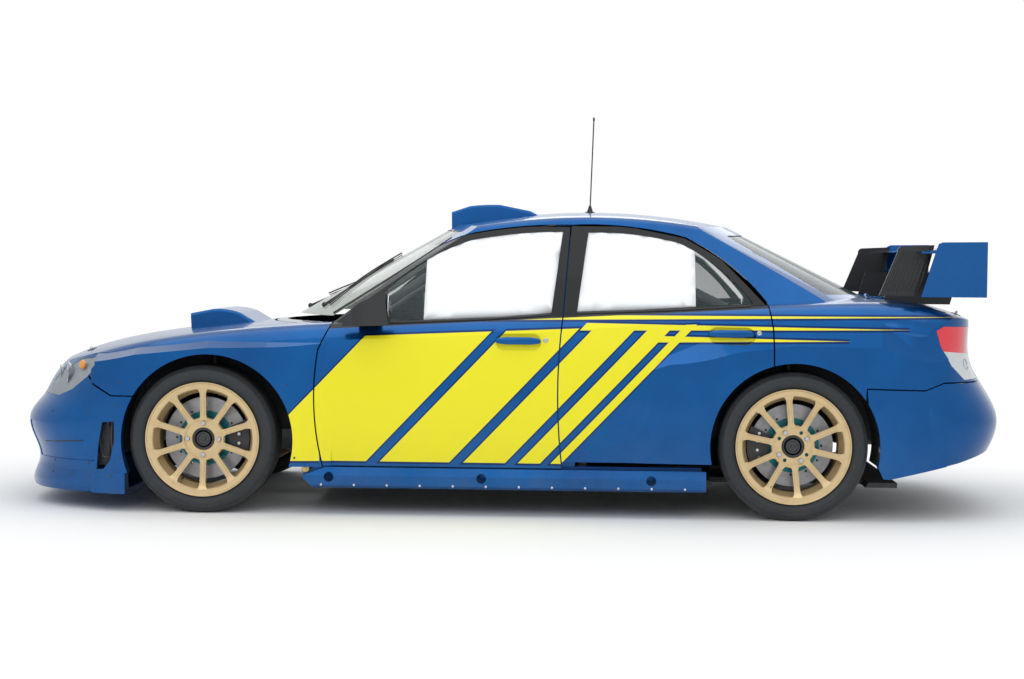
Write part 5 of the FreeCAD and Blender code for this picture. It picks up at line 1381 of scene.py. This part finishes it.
# ---------------------------------------------------------------- floor, light and camera
def wire_floor(sheet, shader):
    place = sheet.place()
    soft = sheet.grain(place, 0.6, 3.0, 0.5)
    x, y, _ = sheet.split(place)
    long = sheet.times(x, 0.36)
    wide = sheet.times(y, 0.55)
    far = sheet.reach(long, wide)
    white = sheet.spread(far, 0.75, 1.5, smooth=True)
    seen = sheet.node("ShaderNodeLightPath")
    glow = sheet.times(white, seen.outputs["Is Camera Ray"])
    lit = sheet.blend(soft, (0.86, 0.86, 0.85), (0.9, 0.9, 0.89))
    sheet.fill(shader, Base_Color=sheet.blend(glow, lit, (0.0, 0.0, 0.0)),
               Emission_Color=sheet.blend(glow, (0.0, 0.0, 0.0), (1.0, 1.0, 1.0)),
               Roughness=sheet.spread(soft, 0.0, 1.0, 0.8, 0.95))


studio_floor = finish("studio_floor", wire_floor, Emission_Strength=1.0, Specular_IOR_Level=0.1)

clear()
bpy.ops.mesh.primitive_plane_add(size=120, location=(0, 0, 0))
floor = settle("studio_floor")
bpy.ops.object.mode_set(mode="EDIT")
bpy.ops.mesh.subdivide(number_cuts=5)
bpy.ops.object.mode_set(mode="OBJECT")
floor.data.materials.append(studio_floor)
clear()

world = bpy.data.worlds.new("studio")
bpy.context.scene.world = world
world.use_nodes = True
sky = Sheet(world.node_tree)
world.node_tree.nodes.clear()
seen = sky.node("ShaderNodeLightPath")
plain = sky.node("ShaderNodeBackground")
plain.inputs["Color"].default_value = (1, 1, 1, 1)
plain.inputs["Strength"].default_value = 1.0
dim = sky.node("ShaderNodeBackground")
dim.inputs["Color"].default_value = (0.93, 0.96, 1.0, 1)
dim.inputs["Strength"].default_value = 0.8
choose = sky.node("ShaderNodeMixShader")
straight = sky.maths("MAXIMUM", seen.outputs["Is Camera Ray"], seen.outputs["Is Transmission Ray"])
sky.link(straight, choose.inputs[0])
sky.link(dim.outputs[0], choose.inputs[1])
sky.link(plain.outputs[0], choose.inputs[2])
sky.link(choose.outputs[0], sky.node("ShaderNodeOutputWorld").inputs["Surface"])


def lamp(name, at, aim, size, power):
    clear()
    bpy.ops.object.light_add(type="AREA", location=at)
    made = bpy.context.object
    made.name = name
    made.data.shape = "RECTANGLE"
    made.data.size, made.data.size_y = size
    made.data.energy = power
    made.rotation_mode = "QUATERNION"
    made.rotation_quaternion = (Vector(aim) - Vector(at)).to_track_quat("-Z", "Y")
    return made


lamp("overhead_bank", (0, 0.6, 4.6), (0, 0, 0), (7.5, 5.0), 90)
lamp("side_bank", (0.6, 6.5, 3.6), (0, 0, 0.5), (9.0, 3.0), 120)
lamp("far_bank", (-0.5, -6.0, 3.4), (0, 0, 0.6), (7.0, 1.8), 40)

CAMERA_AT, CAMERA_TURN = (-0.3546, 9.385, 1.1), (87.7433, -0.5603, -177.7677)  # metres and degrees
LENS, SENSOR = 70.05, 36.0  # millimetres

clear()
bpy.ops.object.camera_add(location=CAMERA_AT, rotation=[math.radians(a) for a in CAMERA_TURN])
camera = bpy.context.object
camera.data.lens, camera.data.sensor_width = LENS, SENSOR
bpy.context.scene.camera = camera
bpy.context.scene.view_settings.view_transform = "Standard"
